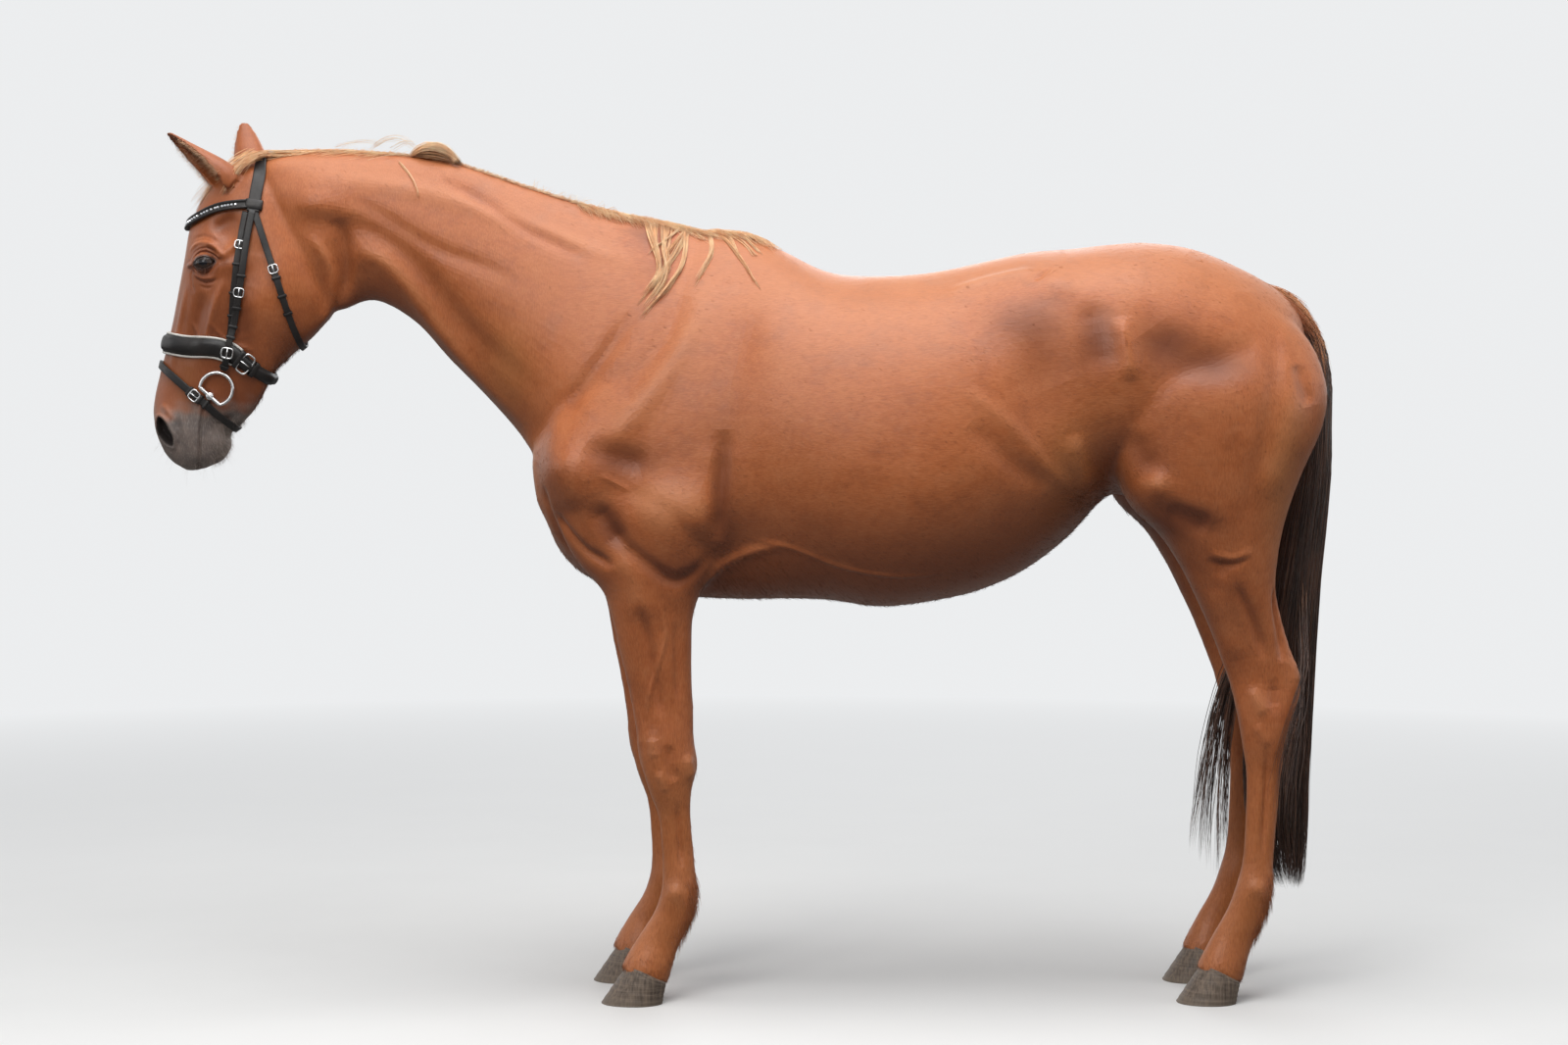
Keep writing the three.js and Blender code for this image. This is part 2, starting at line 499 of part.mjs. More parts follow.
const hump = solidOf(new THREE.SphereGeometry(1, 10, 8).scale(22, 78, 18).rotateX(-0.16).translate(-6, -690, 1818))
  .subtract(grown(lofts.neck, 4));
const locks = [
  [[-166, 1646], [-186, 1600], [-212, 1530], [-229, 1470]],
  [[-64, 1630], [-80, 1606], [-98, 1570], [-107, 1530]],
  [[-36, 1632], [0, 1600], [26, 1566], [52, 1520]],
].map((path, i) => {
  const curve = new THREE.SplineCurve(path.map((p) => new THREE.Vector2(...p)));
  return strap(curve.getPoints(8).map((p, k) => ({
    ...touched(new THREE.Vector3(600, p.x, p.y), new THREE.Vector3(-1, 0, 0)),
    width: (i ? 20 : 42) * (1 - k / 9), thick: 6 * (1 - k / 14), lift: 3,
  })));
});
const mane = {
  mane: maneSheet([
    [-1016, 1824, 80], [-980, 1826, 130], [-930, 1827, 160], [-880, 1825, 140], [-820, 1821, 190], [-760, 1816, 170],
    [-700, 1811, 210], [-640, 1804, 190], [-580, 1784, 220], [-520, 1764, 190], [-460, 1746, 220], [-400, 1728, 190],
    [-340, 1711, 210], [-280, 1697, 170], [-220, 1684, 180], [-160, 1672, 130], [-120, 1666, 100], [-90, 1660, 60],
  ]).add(hump),
  mane_lock_1: locks[0],
  mane_lock_2: locks[1],
  mane_lock_3: locks[2],
};
// A short forelock between the ears.
const forelock = strap(new THREE.SplineCurve([
  [-1072, 1818], [-1096, 1790], [-1124, 1762], [-1160, 1728], [-1184, 1700],
].map(([y, z]) => new THREE.Vector2(y, z))).getPoints(8).map((p, k) => ({
  ...touched(new THREE.Vector3(-4, p.x - 400, p.y + 400), new THREE.Vector3(0, 1, -1)),
  width: 24 + 10 * Math.sin((k * Math.PI) / 8), thick: 9 - 0.6 * k, lift: 4,
})));

const tail = loft([
  { front: [1120, 1530], back: [1172, 1540], half: 20 },
  { front: [1150, 1490], back: [1228, 1496], half: 32 },
  { front: [1180, 1440], back: [1262, 1444], half: 36 },
  { front: [1212, 1350], back: [1285, 1354], half: 42 },
  { front: [1206, 1240], back: [1286, 1240], half: 50 },
  { front: [1186, 1130], back: [1285, 1130], half: 58 },
  { front: [1160, 1000], back: [1274, 1000], half: 62 },
  { front: [1134, 850], back: [1260, 850], half: 64 },
  { front: [1112, 680], back: [1252, 680], half: 60 },
  { front: [1100, 520], back: [1244, 520], half: 52 },
  { front: [1108, 380], back: [1240, 370], half: 40 },
  { front: [1150, 270], back: [1234, 260], half: 22 },
  { front: [1176, 226], back: [1226, 226], half: 8 },
], { rings: 16, sides: 9 });
const tailLock = loft([
  { front: [1100, 800], back: [1150, 790], half: 20, x: 6 },
  { front: [1060, 690], back: [1128, 680], half: 26, x: 4 },
  { front: [1040, 560], back: [1100, 550], half: 26, x: 2 },
  { front: [1032, 420], back: [1090, 410], half: 22, x: 4 },
  { front: [1034, 300], back: [1080, 290], half: 14, x: 6 },
  { front: [1044, 262], back: [1064, 258], half: 5, x: 6 },
], { rings: 9, sides: 8 });

const eyes = {};
for (const [name, side] of sideNames) {
  const ball = new THREE.SphereGeometry(eyeRadius, 10, 7);
  eyes[`eye_${name}`] = solidOf(ball.translate(side * eyeAt.x, eyeAt.y, eyeAt.z));
}
const ears = {
  ear_left: ear(new THREE.Vector3(44, -1098, 1762), new THREE.Vector3(60, -1243, 1876),
    new THREE.Vector3(0.6, -0.4, -0.7)),
  ear_right: ear(new THREE.Vector3(-44, -1096, 1762), new THREE.Vector3(-66, -1087, 1911),
    new THREE.Vector3(-0.75, -0.65, 0.1)),
};
// ---------------------------------------------------------------- the exported group

let rest = whole;
for (const [name, side] of sideNames) {
  const half = side > 0 ? [seam, 420] : [-420, -seam];
  [flesh[`fore_leg_${name}`], rest] = taken(rest, half, [-460, 60], [-10, forePlane]);
  [flesh[`hind_leg_${name}`], rest] = taken(rest, half, [800, 1400], [-10, hindPlane]);
}
[flesh.head, rest] = parted(rest, [-1004, 1850], [-880, 1440]);
[flesh.neck, rest] = parted(rest, [-90, 1700], [-452, 1170]);
flesh.trunk = largest(rest);

const horse = new THREE.Group();
const cutters = {};

// Adds a node, cut back to a thin gap wherever one of the named nodes fills the space.
function addNode(name, solid, material, cutBy = []) {
  const cut = cutBy.length ? solid.subtract(joined(cutBy.map((other) => cutters[other]))) : solid;
  const own = largest(largest(cut).simplify(cutBy.length ? seam / 4 : smallest));
  cutters[name] = grown(own, 2 * seam);
  const mesh = new THREE.Mesh(geometryOf(own), material);
  mesh.name = name;
  horse.add(mesh);
}

for (const [name] of sideNames) {
  addNode(`eye_${name}`, eyes[`eye_${name}`], eyeDark);
  addNode(`bit_ring_${name}`, bit[`bit_ring_${name}`], steel);
  for (const limb of ['fore', 'hind']) {
    addNode(`hoof_${limb}_${name}`, hooves[`hoof_${limb}_${name}`], horn);
    addNode(`${limb}_leg_${name}`, flesh[`${limb}_leg_${name}`], coat, [`hoof_${limb}_${name}`]);
  }
}
addNode('head', flesh.head, coat, ['eye_left', 'eye_right', 'bit_ring_left', 'bit_ring_right']);
addNode('neck', flesh.neck, coat);
addNode('trunk', flesh.trunk, coat);
addNode('ear_left', ears.ear_left, coat, ['head', 'neck']);
addNode('ear_right', ears.ear_right, coat, ['head', 'neck']);
for (const [name, solid] of Object.entries(bridle)) addNode(`bridle_${name}`, solid, leather);
for (const [name, solid] of Object.entries(mane)) addNode(name, solid, paleHair, name === 'mane' ? ['head', 'neck', 'trunk'] : []);
addNode('forelock', forelock, paleHair);
const [tailHair, tailTop] = parted(tail, [1000, tailPlane], [1400, tailPlane]);
const [tailEnd, tailMiddle] = parted(tailHair, [1000, 640], [1400, 640]);
addNode('tail_top', tailTop, darkHair, ['trunk']);
addNode('tail_middle', tailMiddle, darkHair, ['trunk', 'hind_leg_left', 'hind_leg_right']);
addNode('tail_end', tailEnd, darkHair);
addNode('tail_lock', tailLock, darkHair, ['tail_middle', 'tail_end', 'trunk', 'hind_leg_left', 'hind_leg_right']);

export default horse;
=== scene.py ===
import bpy
import math
import numpy as np
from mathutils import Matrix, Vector
from mathutils.bvhtree import BVHTree


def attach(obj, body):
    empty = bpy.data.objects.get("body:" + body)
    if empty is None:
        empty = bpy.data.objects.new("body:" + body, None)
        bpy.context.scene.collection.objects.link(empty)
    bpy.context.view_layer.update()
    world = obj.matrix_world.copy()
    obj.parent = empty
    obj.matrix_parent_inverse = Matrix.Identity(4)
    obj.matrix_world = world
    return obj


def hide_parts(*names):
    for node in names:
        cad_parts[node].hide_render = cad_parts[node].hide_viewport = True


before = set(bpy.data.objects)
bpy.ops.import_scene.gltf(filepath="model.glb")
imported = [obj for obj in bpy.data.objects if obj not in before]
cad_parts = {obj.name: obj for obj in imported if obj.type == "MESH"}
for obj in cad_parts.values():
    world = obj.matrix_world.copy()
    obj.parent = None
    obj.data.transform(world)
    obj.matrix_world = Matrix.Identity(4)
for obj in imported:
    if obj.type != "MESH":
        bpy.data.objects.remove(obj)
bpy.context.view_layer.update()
scene = bpy.context.scene
dice = np.random.default_rng(7)
print("frame loaded")


def deselectAll():
    for o in bpy.context.selected_objects:
        o.select_set(False)


def makeActive(obj):
    deselectAll()
    obj.select_set(True)
    bpy.context.view_layer.objects.active = obj


def meshObject(name, points, faces):
    mesh = bpy.data.meshes.new(name)
    points = np.asarray(points, np.float32)
    faces = np.asarray(faces, np.int32)
    mesh.vertices.add(len(points))
    mesh.vertices.foreach_set("co", points.ravel())
    mesh.loops.add(faces.size)
    mesh.loops.foreach_set("vertex_index", faces.ravel())
    mesh.polygons.add(len(faces))
    mesh.polygons.foreach_set("loop_start", np.arange(len(faces), dtype=np.int32) * faces.shape[1])
    mesh.update(calc_edges=True)
    mesh.polygons.foreach_set("use_smooth", np.ones(len(faces), bool))
    obj = bpy.data.objects.new(name, mesh)
    scene.collection.objects.link(obj)
    return obj


def joinObjects(objs):
    makeActive(objs[0])
    for o in objs:
        o.select_set(True)
    bpy.ops.object.join()
    return bpy.context.view_layer.objects.active


def applyModifier(obj, kind, **values):
    makeActive(obj)
    m = obj.modifiers.new(kind.lower(), kind)
    for k, v in values.items():
        setattr(m, k, v)
    bpy.ops.object.modifier_apply(modifier=m.name)


def editMesh(obj, *steps):
    # runs edit-mode operators, with everything selected at first
    makeActive(obj)
    bpy.ops.object.mode_set(mode="EDIT")
    bpy.ops.mesh.select_all(action="SELECT")
    for operator, settings in steps:
        operator(**settings)
    bpy.ops.object.mode_set(mode="OBJECT")


def outward(obj):
    # faces point outwards on a closed mesh
    editMesh(obj, (bpy.ops.mesh.normals_make_consistent, {"inside": False}))


def readAll(items, key, width=1, kind=np.float32):
    # one value or vector of every vertex, edge, loop or face
    values = np.empty(len(items) * width, kind)
    items.foreach_get(key, values)
    return values if width == 1 else values.reshape(-1, width)


def pointsOf(obj):
    return readAll(obj.data.vertices, "co", 3).astype(float)


def normalsOf(obj):
    return readAll(obj.data.vertex_normals, "vector", 3).astype(float)


def setPoints(obj, p):
    obj.data.vertices.foreach_set("co", p.astype(np.float32).ravel())
    obj.data.update()


def edgesOf(obj):
    return readAll(obj.data.edges, "vertices", 2, np.int32)


def unit(v):
    return v / np.maximum(np.linalg.norm(v, axis=-1, keepdims=True), 1e-9)


def relax(points, edges, weight, rounds):
    # a step in, then a step back, evens a surface out with little shrinking
    stepIn, stepBack = 0.5, -0.52
    n = len(points)
    a, b = edges[:, 0], edges[:, 1]
    count = np.maximum(np.bincount(edges.ravel(), minlength=n), 1)[:, None]
    for _ in range(rounds):
        for step in (stepIn, stepBack):
            total = np.stack([np.bincount(a, points[b, k], n) + np.bincount(b, points[a, k], n)
                              for k in range(3)], 1)
            points = points + (total / count - points) * (step * weight)[:, None]
    return points


def spline(rows, t):
    # a smooth curve through rows, t from 0 to 1
    rows = np.asarray(rows, float)
    n = len(rows) - 1
    s = np.clip(np.asarray(t, float) * n, 0, n - 1e-9)
    i = s.astype(int)
    f = (s - i)[:, None]
    p0, p1, p2, p3 = rows[np.maximum(i - 1, 0)], rows[i], rows[i + 1], rows[np.minimum(i + 2, n)]
    return 0.5 * (2 * p1 + (p2 - p0) * f + (2 * p0 - 5 * p1 + 4 * p2 - p3) * f ** 2
                  + (3 * p1 - p0 - 3 * p2 + p3) * f ** 3)


def between(low, high, v):
    # 0 at low, 1 at high, smooth in between
    t = np.clip((v - low) / (high - low), 0, 1)
    return t * t * (3 - 2 * t)


def spotAt(y, z, cy, cz, reachY, reachZ):
    # 1 in the middle of a spot on the flank, fading to 0 round it
    return np.exp(-((y - cy) / reachY) ** 2 - ((z - cz) / reachZ) ** 2)


def turned(y, z, degrees):
    # the same places along and across a line at this angle
    a = math.radians(degrees)
    return y * math.cos(a) + z * math.sin(a), z * math.cos(a) - y * math.sin(a)


def castRay(tree, start, way):
    # where a ray meets a surface, and the surface's normal there
    hit = tree.ray_cast(Vector(start), Vector(way))
    return None if hit[0] is None else (np.array(hit[0]), np.array(hit[1]))


# camera, light and floor

studio = {
    "eye": (7.0, 0.092, 1.35), "lens": 73.6, "sensor": 36, "tilt": 2.62,
    "floor": (0.86, 0.86, 0.85), "floorBounce": (0.25, 0.25, 0.245), "floorSize": 80, "floorFade": (1.2, 6.5),
    "world": 0.20, "worldTint": (0.94, 0.96, 1, 1), "pale": (0.84, 0.85, 0.86),
    # each lamp: place, what it looks at, power, size, colour
    "lamps": {
        "overhead": ((1.2, 0.3, 5.5), (0, 0, 1.0), 240, 4.5, (1, 1, 1)),
        "key": ((4.6, -1.8, 4.0), (0, -0.1, 1.1), 90, 2.6, (1, 0.98, 0.95)),
        "far": ((-5.0, 1.0, 3.6), (0, 0, 1.2), 60, 3.0, (0.96, 0.98, 1)),
        "front": ((0.5, -6.0, 2.8), (0, 0, 1.2), 34, 3.0, (1, 1, 1)),
        "rear": ((1.0, 6.0, 3.0), (0, 0.3, 1.1), 34, 3.0, (1, 1, 1)),
    },
}

scene.view_settings.view_transform = "Standard"
camera = bpy.data.objects.new("camera", bpy.data.cameras.new("camera"))
scene.collection.objects.link(camera)
camera.location = studio["eye"]
camera.rotation_euler = (math.radians(90 - studio["tilt"]), 0, math.radians(90))
camera.data.lens = studio["lens"]
camera.data.sensor_width = studio["sensor"]
scene.camera = camera

for name, (place, aim, power, size, tint) in studio["lamps"].items():
    lamp = bpy.data.objects.new(name, bpy.data.lights.new(name, "AREA"))
    lamp.data.energy = power
    lamp.data.size = size
    lamp.data.color = tint
    scene.collection.objects.link(lamp)
    lamp.location = place
    lamp.rotation_euler = (Vector(aim) - Vector(place)).to_track_quat("-Z", "Y").to_euler()

world = bpy.data.worlds.new("surroundings")
scene.world = world
world.use_nodes = True
tree = world.node_tree
light = tree.nodes["Background"]
light.inputs["Color"].default_value = studio["worldTint"]
light.inputs["Strength"].default_value = studio["world"]
pale = tree.nodes.new("ShaderNodeBackground")
pale.inputs["Color"].default_value = (*studio["pale"], 1)
rays = tree.nodes.new("ShaderNodeLightPath")
seen = tree.nodes.new("ShaderNodeMath")
seen.operation = "MAXIMUM"
both = tree.nodes.new("ShaderNodeMixShader")
for source, target in ((rays.outputs["Is Camera Ray"], seen.inputs[0]), (rays.outputs["Is Glossy Ray"], seen.inputs[1]),
                       (seen.outputs[0], both.inputs[0]), (light.outputs[0], both.inputs[1]),
                       (pale.outputs[0], both.inputs[2]),
                       (both.outputs[0], tree.nodes["World Output"].inputs["Surface"])):
    tree.links.new(source, target)

deselectAll()
bpy.ops.mesh.primitive_plane_add(size=studio["floorSize"], location=(0, 0, 0))
ground = bpy.context.active_object
ground.name = "floor"


# materials: short helpers for node trees

class Paint:
    # one material, with helpers that add and link its nodes
    def __init__(self, name):
        self.material = bpy.data.materials.new(name)
        self.material.use_nodes = True
        self.tree = self.material.node_tree
        self.shader = self.tree.nodes["Principled BSDF"]
        self.coords = None

    def put(self, socket, value):
        if isinstance(value, bpy.types.NodeSocket):
            self.tree.links.new(value, socket)
        elif isinstance(value, tuple) and len(value) == 3 and len(socket.default_value) == 4:
            socket.default_value = (*value, 1)
        else:
            socket.default_value = value

    def node(self, kind, inputs=None, **settings):
        n = self.tree.nodes.new("ShaderNode" + kind)
        for k, v in settings.items():
            setattr(n, k, v)
        for k, v in (inputs or {}).items():
            self.put(n.inputs[k], v)
        return n

    def place(self, scale=(1, 1, 1), turn=(0, 0, 0)):
        self.coords = self.coords or self.node("TexCoord")
        return self.node("Mapping", {"Vector": self.coords.outputs["Object"], "Scale": scale,
                                     "Rotation": turn}).outputs[0]

    def attribute(self, name):
        return self.node("Attribute", attribute_name=name).outputs["Fac"]

    def grain(self, stretch, detail=3.0, roughness=0.55, turn=(0, 0, 0)):
        # noise with this many cycles a metre along x, y and z
        return self.node("TexNoise", {"Vector": self.place(stretch, turn), "Scale": 1.0, "Detail": detail,
                                      "Roughness": roughness}).outputs["Fac"]

    def span(self, value, low, high, new=(0.0, 1.0)):
        return self.node("MapRange", {"Value": value, "From Min": low, "From Max": high,
                                      "To Min": new[0], "To Max": new[1]}).outputs[0]

    def math(self, kind, a, b=0.0):
        return self.node("Math", {0: a, 1: b}, operation=kind).outputs[0]

    def mix(self, factor, a, b, kind="MIX"):
        return self.node("Mix", {0: factor, 6: a, 7: b}, data_type="RGBA", blend_type=kind).outputs[2]

    def tint(self, colour, value, low, high, most, other):
        # lays another colour over the first, from none at low to the most at high
        return self.mix(self.span(value, low, high, (0, most)), colour, other)

    def blend(self, factor, a, b):
        return self.node("Mix", {0: factor, 2: a, 3: b}).outputs[0]

    def finish(self, **sockets):
        for k, v in sockets.items():
            self.put(self.shader.inputs[k.replace("_", " ")], v)
        return self.material

    def bump(self, height, strength, distance, after=None):
        n = self.node("Bump", {"Height": height, "Strength": strength, "Distance": distance})
        if after:
            self.put(n.inputs["Normal"], after)
        return n.outputs[0]


def paintFloor():
    # pale to the camera, duller as a source of light; melts into the surroundings far off
    p = Paint("floorPaint")
    seen = p.node("LightPath").outputs["Is Camera Ray"]
    speck = p.span(p.grain((3, 3, 3)), 0.3, 0.7, (0.985, 1.0))
    speckled = p.node("CombineColor", {0: speck, 1: speck, 2: speck}).outputs[0]
    white = p.mix(1.0, studio["floor"], speckled, "MULTIPLY")
    white = p.mix(seen, studio["floorBounce"], white)
    far = p.node("VectorMath", {0: p.place((1, 1, 0))}, operation="LENGTH").outputs["Value"]
    far = p.math("MULTIPLY", p.span(far, *studio["floorFade"]), seen)
    p.finish(Base_Color=p.mix(far, white, (0, 0, 0)), Roughness=0.9, Specular_IOR_Level=0.0)
    return p.finish(Emission_Color=studio["pale"], Emission_Strength=far)


ground.data.materials.append(paintFloor())
print("camera, lights and floor done")


# the body's main forms, in mm: [front y, z, back y, z, half width, x, widest at, sharpness in front and behind],
# where the last four are left out when they are the usual ones

usualRow = [0, 0, 0, 0, 0, 0, .5, 1, 1]
bodyForms = {
    "trunk": [
        [-444, 1192, -440, 1116, 66], [-432, 1250, -424, 1034, 150, 0, .5, 1, .9],
        [-398, 1322, -394, 962, 200, 0, .45], [-330, 1440, -330, 906, 222, 0, .52, 1.1],
        [-230, 1556, -230, 880, 232, 0, .58, 1.4], [-120, 1654, -120, 866, 242, 0, .6, 1.7],
        [0, 1662, 0, 861, 266, 0, .58, 1.75, .9], [90, 1624, 90, 863, 292, 0, .56, 1.4, .85],
        [190, 1577, 190, 860, 312, 0, .56, 1.1, .85], [300, 1568, 300, 846, 326, 0, .56, .98, .85],
        [410, 1575, 410, 857, 330, 0, .56, .95, .85], [520, 1597, 520, 882, 318, 0, .54, .92, .88],
        [620, 1619, 620, 928, 298, 0, .5, .88, .9], [710, 1627, 710, 996, 282, 0, .46, .9],
        [800, 1637, 800, 1088, 274, 0, .48, .94], [880, 1641, 880, 1062, 268, 0, .5, .97],
        [980, 1627, 980, 1020, 256], [1080, 1587, 1080, 1040, 234, 0, .48], [1160, 1542, 1160, 1090, 190, 0, .46],
        [1206, 1498, 1202, 1180, 128, 0, .46], [1226, 1450, 1216, 1300, 50]],
    "neck": [
        [-1062, 1800, -930, 1520, 56, 0, .35], [-1030, 1828, -885, 1488, 74, 0, .36, .95],
        [-945, 1838, -800, 1512, 84, 0, .42, 1.15], [-800, 1836, -712, 1466, 84, 0, .5, 1.35],
        [-640, 1819, -640, 1388, 92, 0, .54, 1.5], [-480, 1767, -565, 1312, 112, 0, .58, 1.6],
        [-320, 1718, -490, 1228, 142, 0, .62, 1.7], [-160, 1684, -418, 1130, 180, 0, .64, 1.8],
        [0, 1646, -330, 1040, 205, 0, .62, 1.8]],
    "skull": [
        [-1040, 1796, -960, 1700, 40], [-1074, 1818, -908, 1600, 66, 0, .4],
        [-1128, 1786, -888, 1500, 84, 0, .4, .85], [-1172, 1734, -918, 1450, 90, 0, .4, .8, .85],
        [-1199, 1675, -950, 1418, 94, 0, .4, .75, .85], [-1212, 1607, -986, 1388, 90, 0, .36, .78, .85],
        [-1226, 1540, -1018, 1350, 80, 0, .42, .85, .85], [-1240, 1474, -1044, 1298, 69, 0, .48, .95, .85],
        [-1254, 1416, -1066, 1262, 62, 0, .5, 1, .9], [-1270, 1356, -1094, 1240, 56, 0, .5, .95, .9],
        [-1282, 1300, -1114, 1224, 56, 0, .45, .8], [-1284, 1258, -1112, 1202, 59, 0, .38, .75],
        [-1277, 1218, -1117, 1184, 56, 0, .4, .8], [-1264, 1180, -1134, 1163, 48, 0, .45, .9],
        [-1242, 1154, -1156, 1153, 36, 0, .5, .9], [-1222, 1142, -1178, 1143, 18]],
    "foreLeg": [
        [-400, 1200, -120, 1230, 40, 150], [-412, 1120, -60, 1140, 76, 146], [-396, 1030, -42, 1030, 86, 142, .55],
        [-352, 950, -46, 950, 82, 140, .6], [-300, 890, -82, 890, 72, 140, .55], [-280, 835, -101, 835, 63, 140],
        [-265, 766, -104, 766, 56, 138], [-249, 701, -104, 701, 49, 137], [-235, 632, -101, 632, 43, 136],
        [-225, 573, -100, 573, 46, 136, .5, .8], [-215, 512, -92, 514, 48, 136, .4, .75],
        [-200, 458, -104, 462, 40, 135, .4, .8], [-181, 404, -107, 410, 27, 134], [-174, 340, -102, 345, 25, 132],
        [-171, 284, -97, 288, 29, 132], [-176, 236, -94, 230, 37, 132], [-192, 192, -106, 176, 33, 132],
        [-222, 146, -134, 118, 33, 132], [-250, 100, -150, 66, 47, 132], [-262, 72, -158, 40, 50, 132]],
    "hindLeg": [
        [800, 1530, 1118, 1530, 88, 92], [740, 1430, 1216, 1430, 110, 118, .42],
        [742, 1330, 1252, 1330, 136, 138, .42, 1, .85], [770, 1230, 1244, 1245, 140, 142, .42, 1, .85],
        [798, 1140, 1204, 1150, 134, 142, .42, 1, .85], [832, 1070, 1174, 1070, 120, 146, .42, 1, .9],
        [893, 1010, 1156, 1000, 99, 150, .45], [936, 946, 1147, 935, 82, 150], [965, 890, 1147, 885, 70, 148],
        [1000, 815, 1163, 820, 54, 140], [1026, 750, 1186, 750, 44, 134, .42], [1050, 684, 1206, 696, 42, 128, .38],
        [1066, 618, 1197, 636, 46, 128, .38, .8], [1076, 560, 1178, 570, 42, 128, .5, .85],
        [1085, 498, 1165, 498, 29, 128], [1085, 420, 1158, 420, 27, 128], [1079, 310, 1149, 312, 28, 128],
        [1064, 248, 1146, 240, 37, 128], [1046, 200, 1132, 184, 33, 128], [1018, 150, 1104, 122, 33, 128],
        [992, 100, 1088, 66, 46, 128], [980, 72, 1080, 40, 48, 128]],
}
# swellings of both flanks: y, z, reach along and across, turn, height
flankForms = {
    "brow": (-1148, 1628, 36, 16, 20, 14), "eye": (-1154, 1592, 34, 30, 0, 7), "temple": (-1106, 1658, 26, 24, 0, -9),
    "cheek": (-985, 1530, 96, 72, 75, 14), "cheekArch": (-1088, 1592, 48, 13, 12, 7),
    "faceCrest": (-1136, 1480, 78, 14, 82, 7), "nostril": (-1262, 1242, 36, 22, 72, 9),
    "atlasWing": (-925, 1715, 46, 40, 0, 9), "throat": (-868, 1590, 80, 34, 70, -10),
    "shoulderBlade": (-190, 1390, 200, 46, 62, 9), "pointOfShoulder": (-352, 1140, 85, 70, 80, 20),
    "upperArm": (-112, 1055, 92, 74, 40, 24), "girth": (20, 960, 60, 90, 0, -12), "flank": (640, 1330, 80, 120, 0, -16),
    "pointOfHip": (664, 1556, 48, 30, -20, 18), "stifle": (850, 1090, 60, 50, 60, 12),
}
farForeAhead = 32  # the right fore foot stands this far ahead of the left one


def flankSwell(y, z):
    total = np.zeros_like(y)
    for py, pz, along, across, turn, out in flankForms.values():
        u, v = turned(y - py, z - pz, turn)
        total += out * spotAt(u, v, 0, 0, along, across)
    return total


def tubeFaces(rings, sides):
    # quads between rings; the ends are closed on two extra points
    i, j = np.meshgrid(np.arange(rings - 1), np.arange(sides), indexing="ij")
    k = (j + 1) % sides
    return np.stack([i * sides + j, i * sides + k, (i + 1) * sides + k, (i + 1) * sides + j], -1).reshape(-1, 4)


def closedTube(name, points, sides):
    # points: rings of one size, one after another; the ends close on their middles
    obj = meshObject(name, points, tubeFaces(len(points) // sides, sides))
    editMesh(obj, (bpy.ops.mesh.select_mode, {"type": "EDGE"}), (bpy.ops.mesh.select_non_manifold, {}),
             (bpy.ops.mesh.edge_face_add, {}))
    outward(obj)
    return obj


def loftForm(name, rings, sides, side=1, stagger=0):
    rows = np.array([row + usualRow[len(row):] for row in bodyForms[name]], float)
    if stagger:
        for k in (0, 2):
            down = (1100 - rows[:, k + 1]) / 1000
            rows[:, k] -= 8 + (stagger - 8) * down + 12 * np.sin(np.pi * np.clip(down, 0, 1))
    r = spline(rows, np.linspace(0, 1, rings))
    angle = np.linspace(0, 2 * math.pi, sides, endpoint=False)
    c, s = np.cos(angle)[None, :], np.sin(angle)[None, :]
    fy, fz, by, bz, half, off, wide, sf, sb = [r[:, k:k + 1] for k in range(9)]
    along = np.where(c >= 0, wide * (1 - c), wide - (1 - wide) * c)
    y, z = fy + (by - fy) * along, fz + (bz - fz) * along
    width = half * np.abs(s) ** np.where(c >= 0, sf, sb)
    raised = flankSwell(y, z) * np.abs(s) * np.where((s > 0) | (off < 1), 1, 0)
    x = side * (off + np.sign(s) * (width + raised))
    return closedTube(name, np.stack([x, y, z], -1).reshape(-1, 3) / 1000, sides)


# ears: a leaf-shaped cup each, [base, tip, way the cup faces]

ears = {
    "left": ((.044, -1.098, 1.762), (.060, -1.240, 1.872), (.6, -.4, -.7)),
    "right": ((-.046, -1.066, 1.762), (-.066, -1.094, 1.905), (-.90, -.42, .1)),
    "broad": {"left": 1.0, "right": 1.2}, "bend": {"left": -.003, "right": .004},
    "wall": .0088, "thinned": .0014,
    # share of the length, half width, depth of the cup, how far it wraps round
    "outline": [[0, .027, .032, 2.9], [.12, .032, .036, 2.5], [.3, .034, .034, 2.1], [.5, .030, .027, 1.85],
                [.7, .0235, .019, 1.7], [.86, .0165, .013, 1.6], [.96, .0105, .009, 1.55], [1, .006, .006, 1.5]],
}


def earFrame(which):
    base, tip, facing = [np.array(v) for v in ears[which]]
    across = unit(np.cross(tip - base, facing))
    return base, tip - base, across, unit(np.cross(across, tip - base))


def earShell(which):
    base, axis, across, opening = earFrame(which)
    rings, n = [], 17
    for share, half, deep, wrap in spline(ears["outline"], np.linspace(0, 1, 34) ** .9):
        bend = np.array([0, 0, 1]) * ears["bend"][which] * math.sin(math.pi * share)
        middle = base + axis * share + bend
        a = np.linspace(-wrap, wrap, n)[:, None]
        ring = []
        for grow in (0, ears["wall"]):
            w, d = max(half * ears["broad"][which] - grow, .0004), max(deep - grow, .0004)
            ring.append(middle - opening * d * np.cos(a) + across * w * np.sin(a))
        rings.append(np.vstack([ring[0], ring[1][::-1]]))
    return closedTube("ear", np.vstack(rings), 2 * n)


# sculpted strokes by the view they are drawn from: (height, reach, path as pairs), in mm; those from the side go on
# both flanks

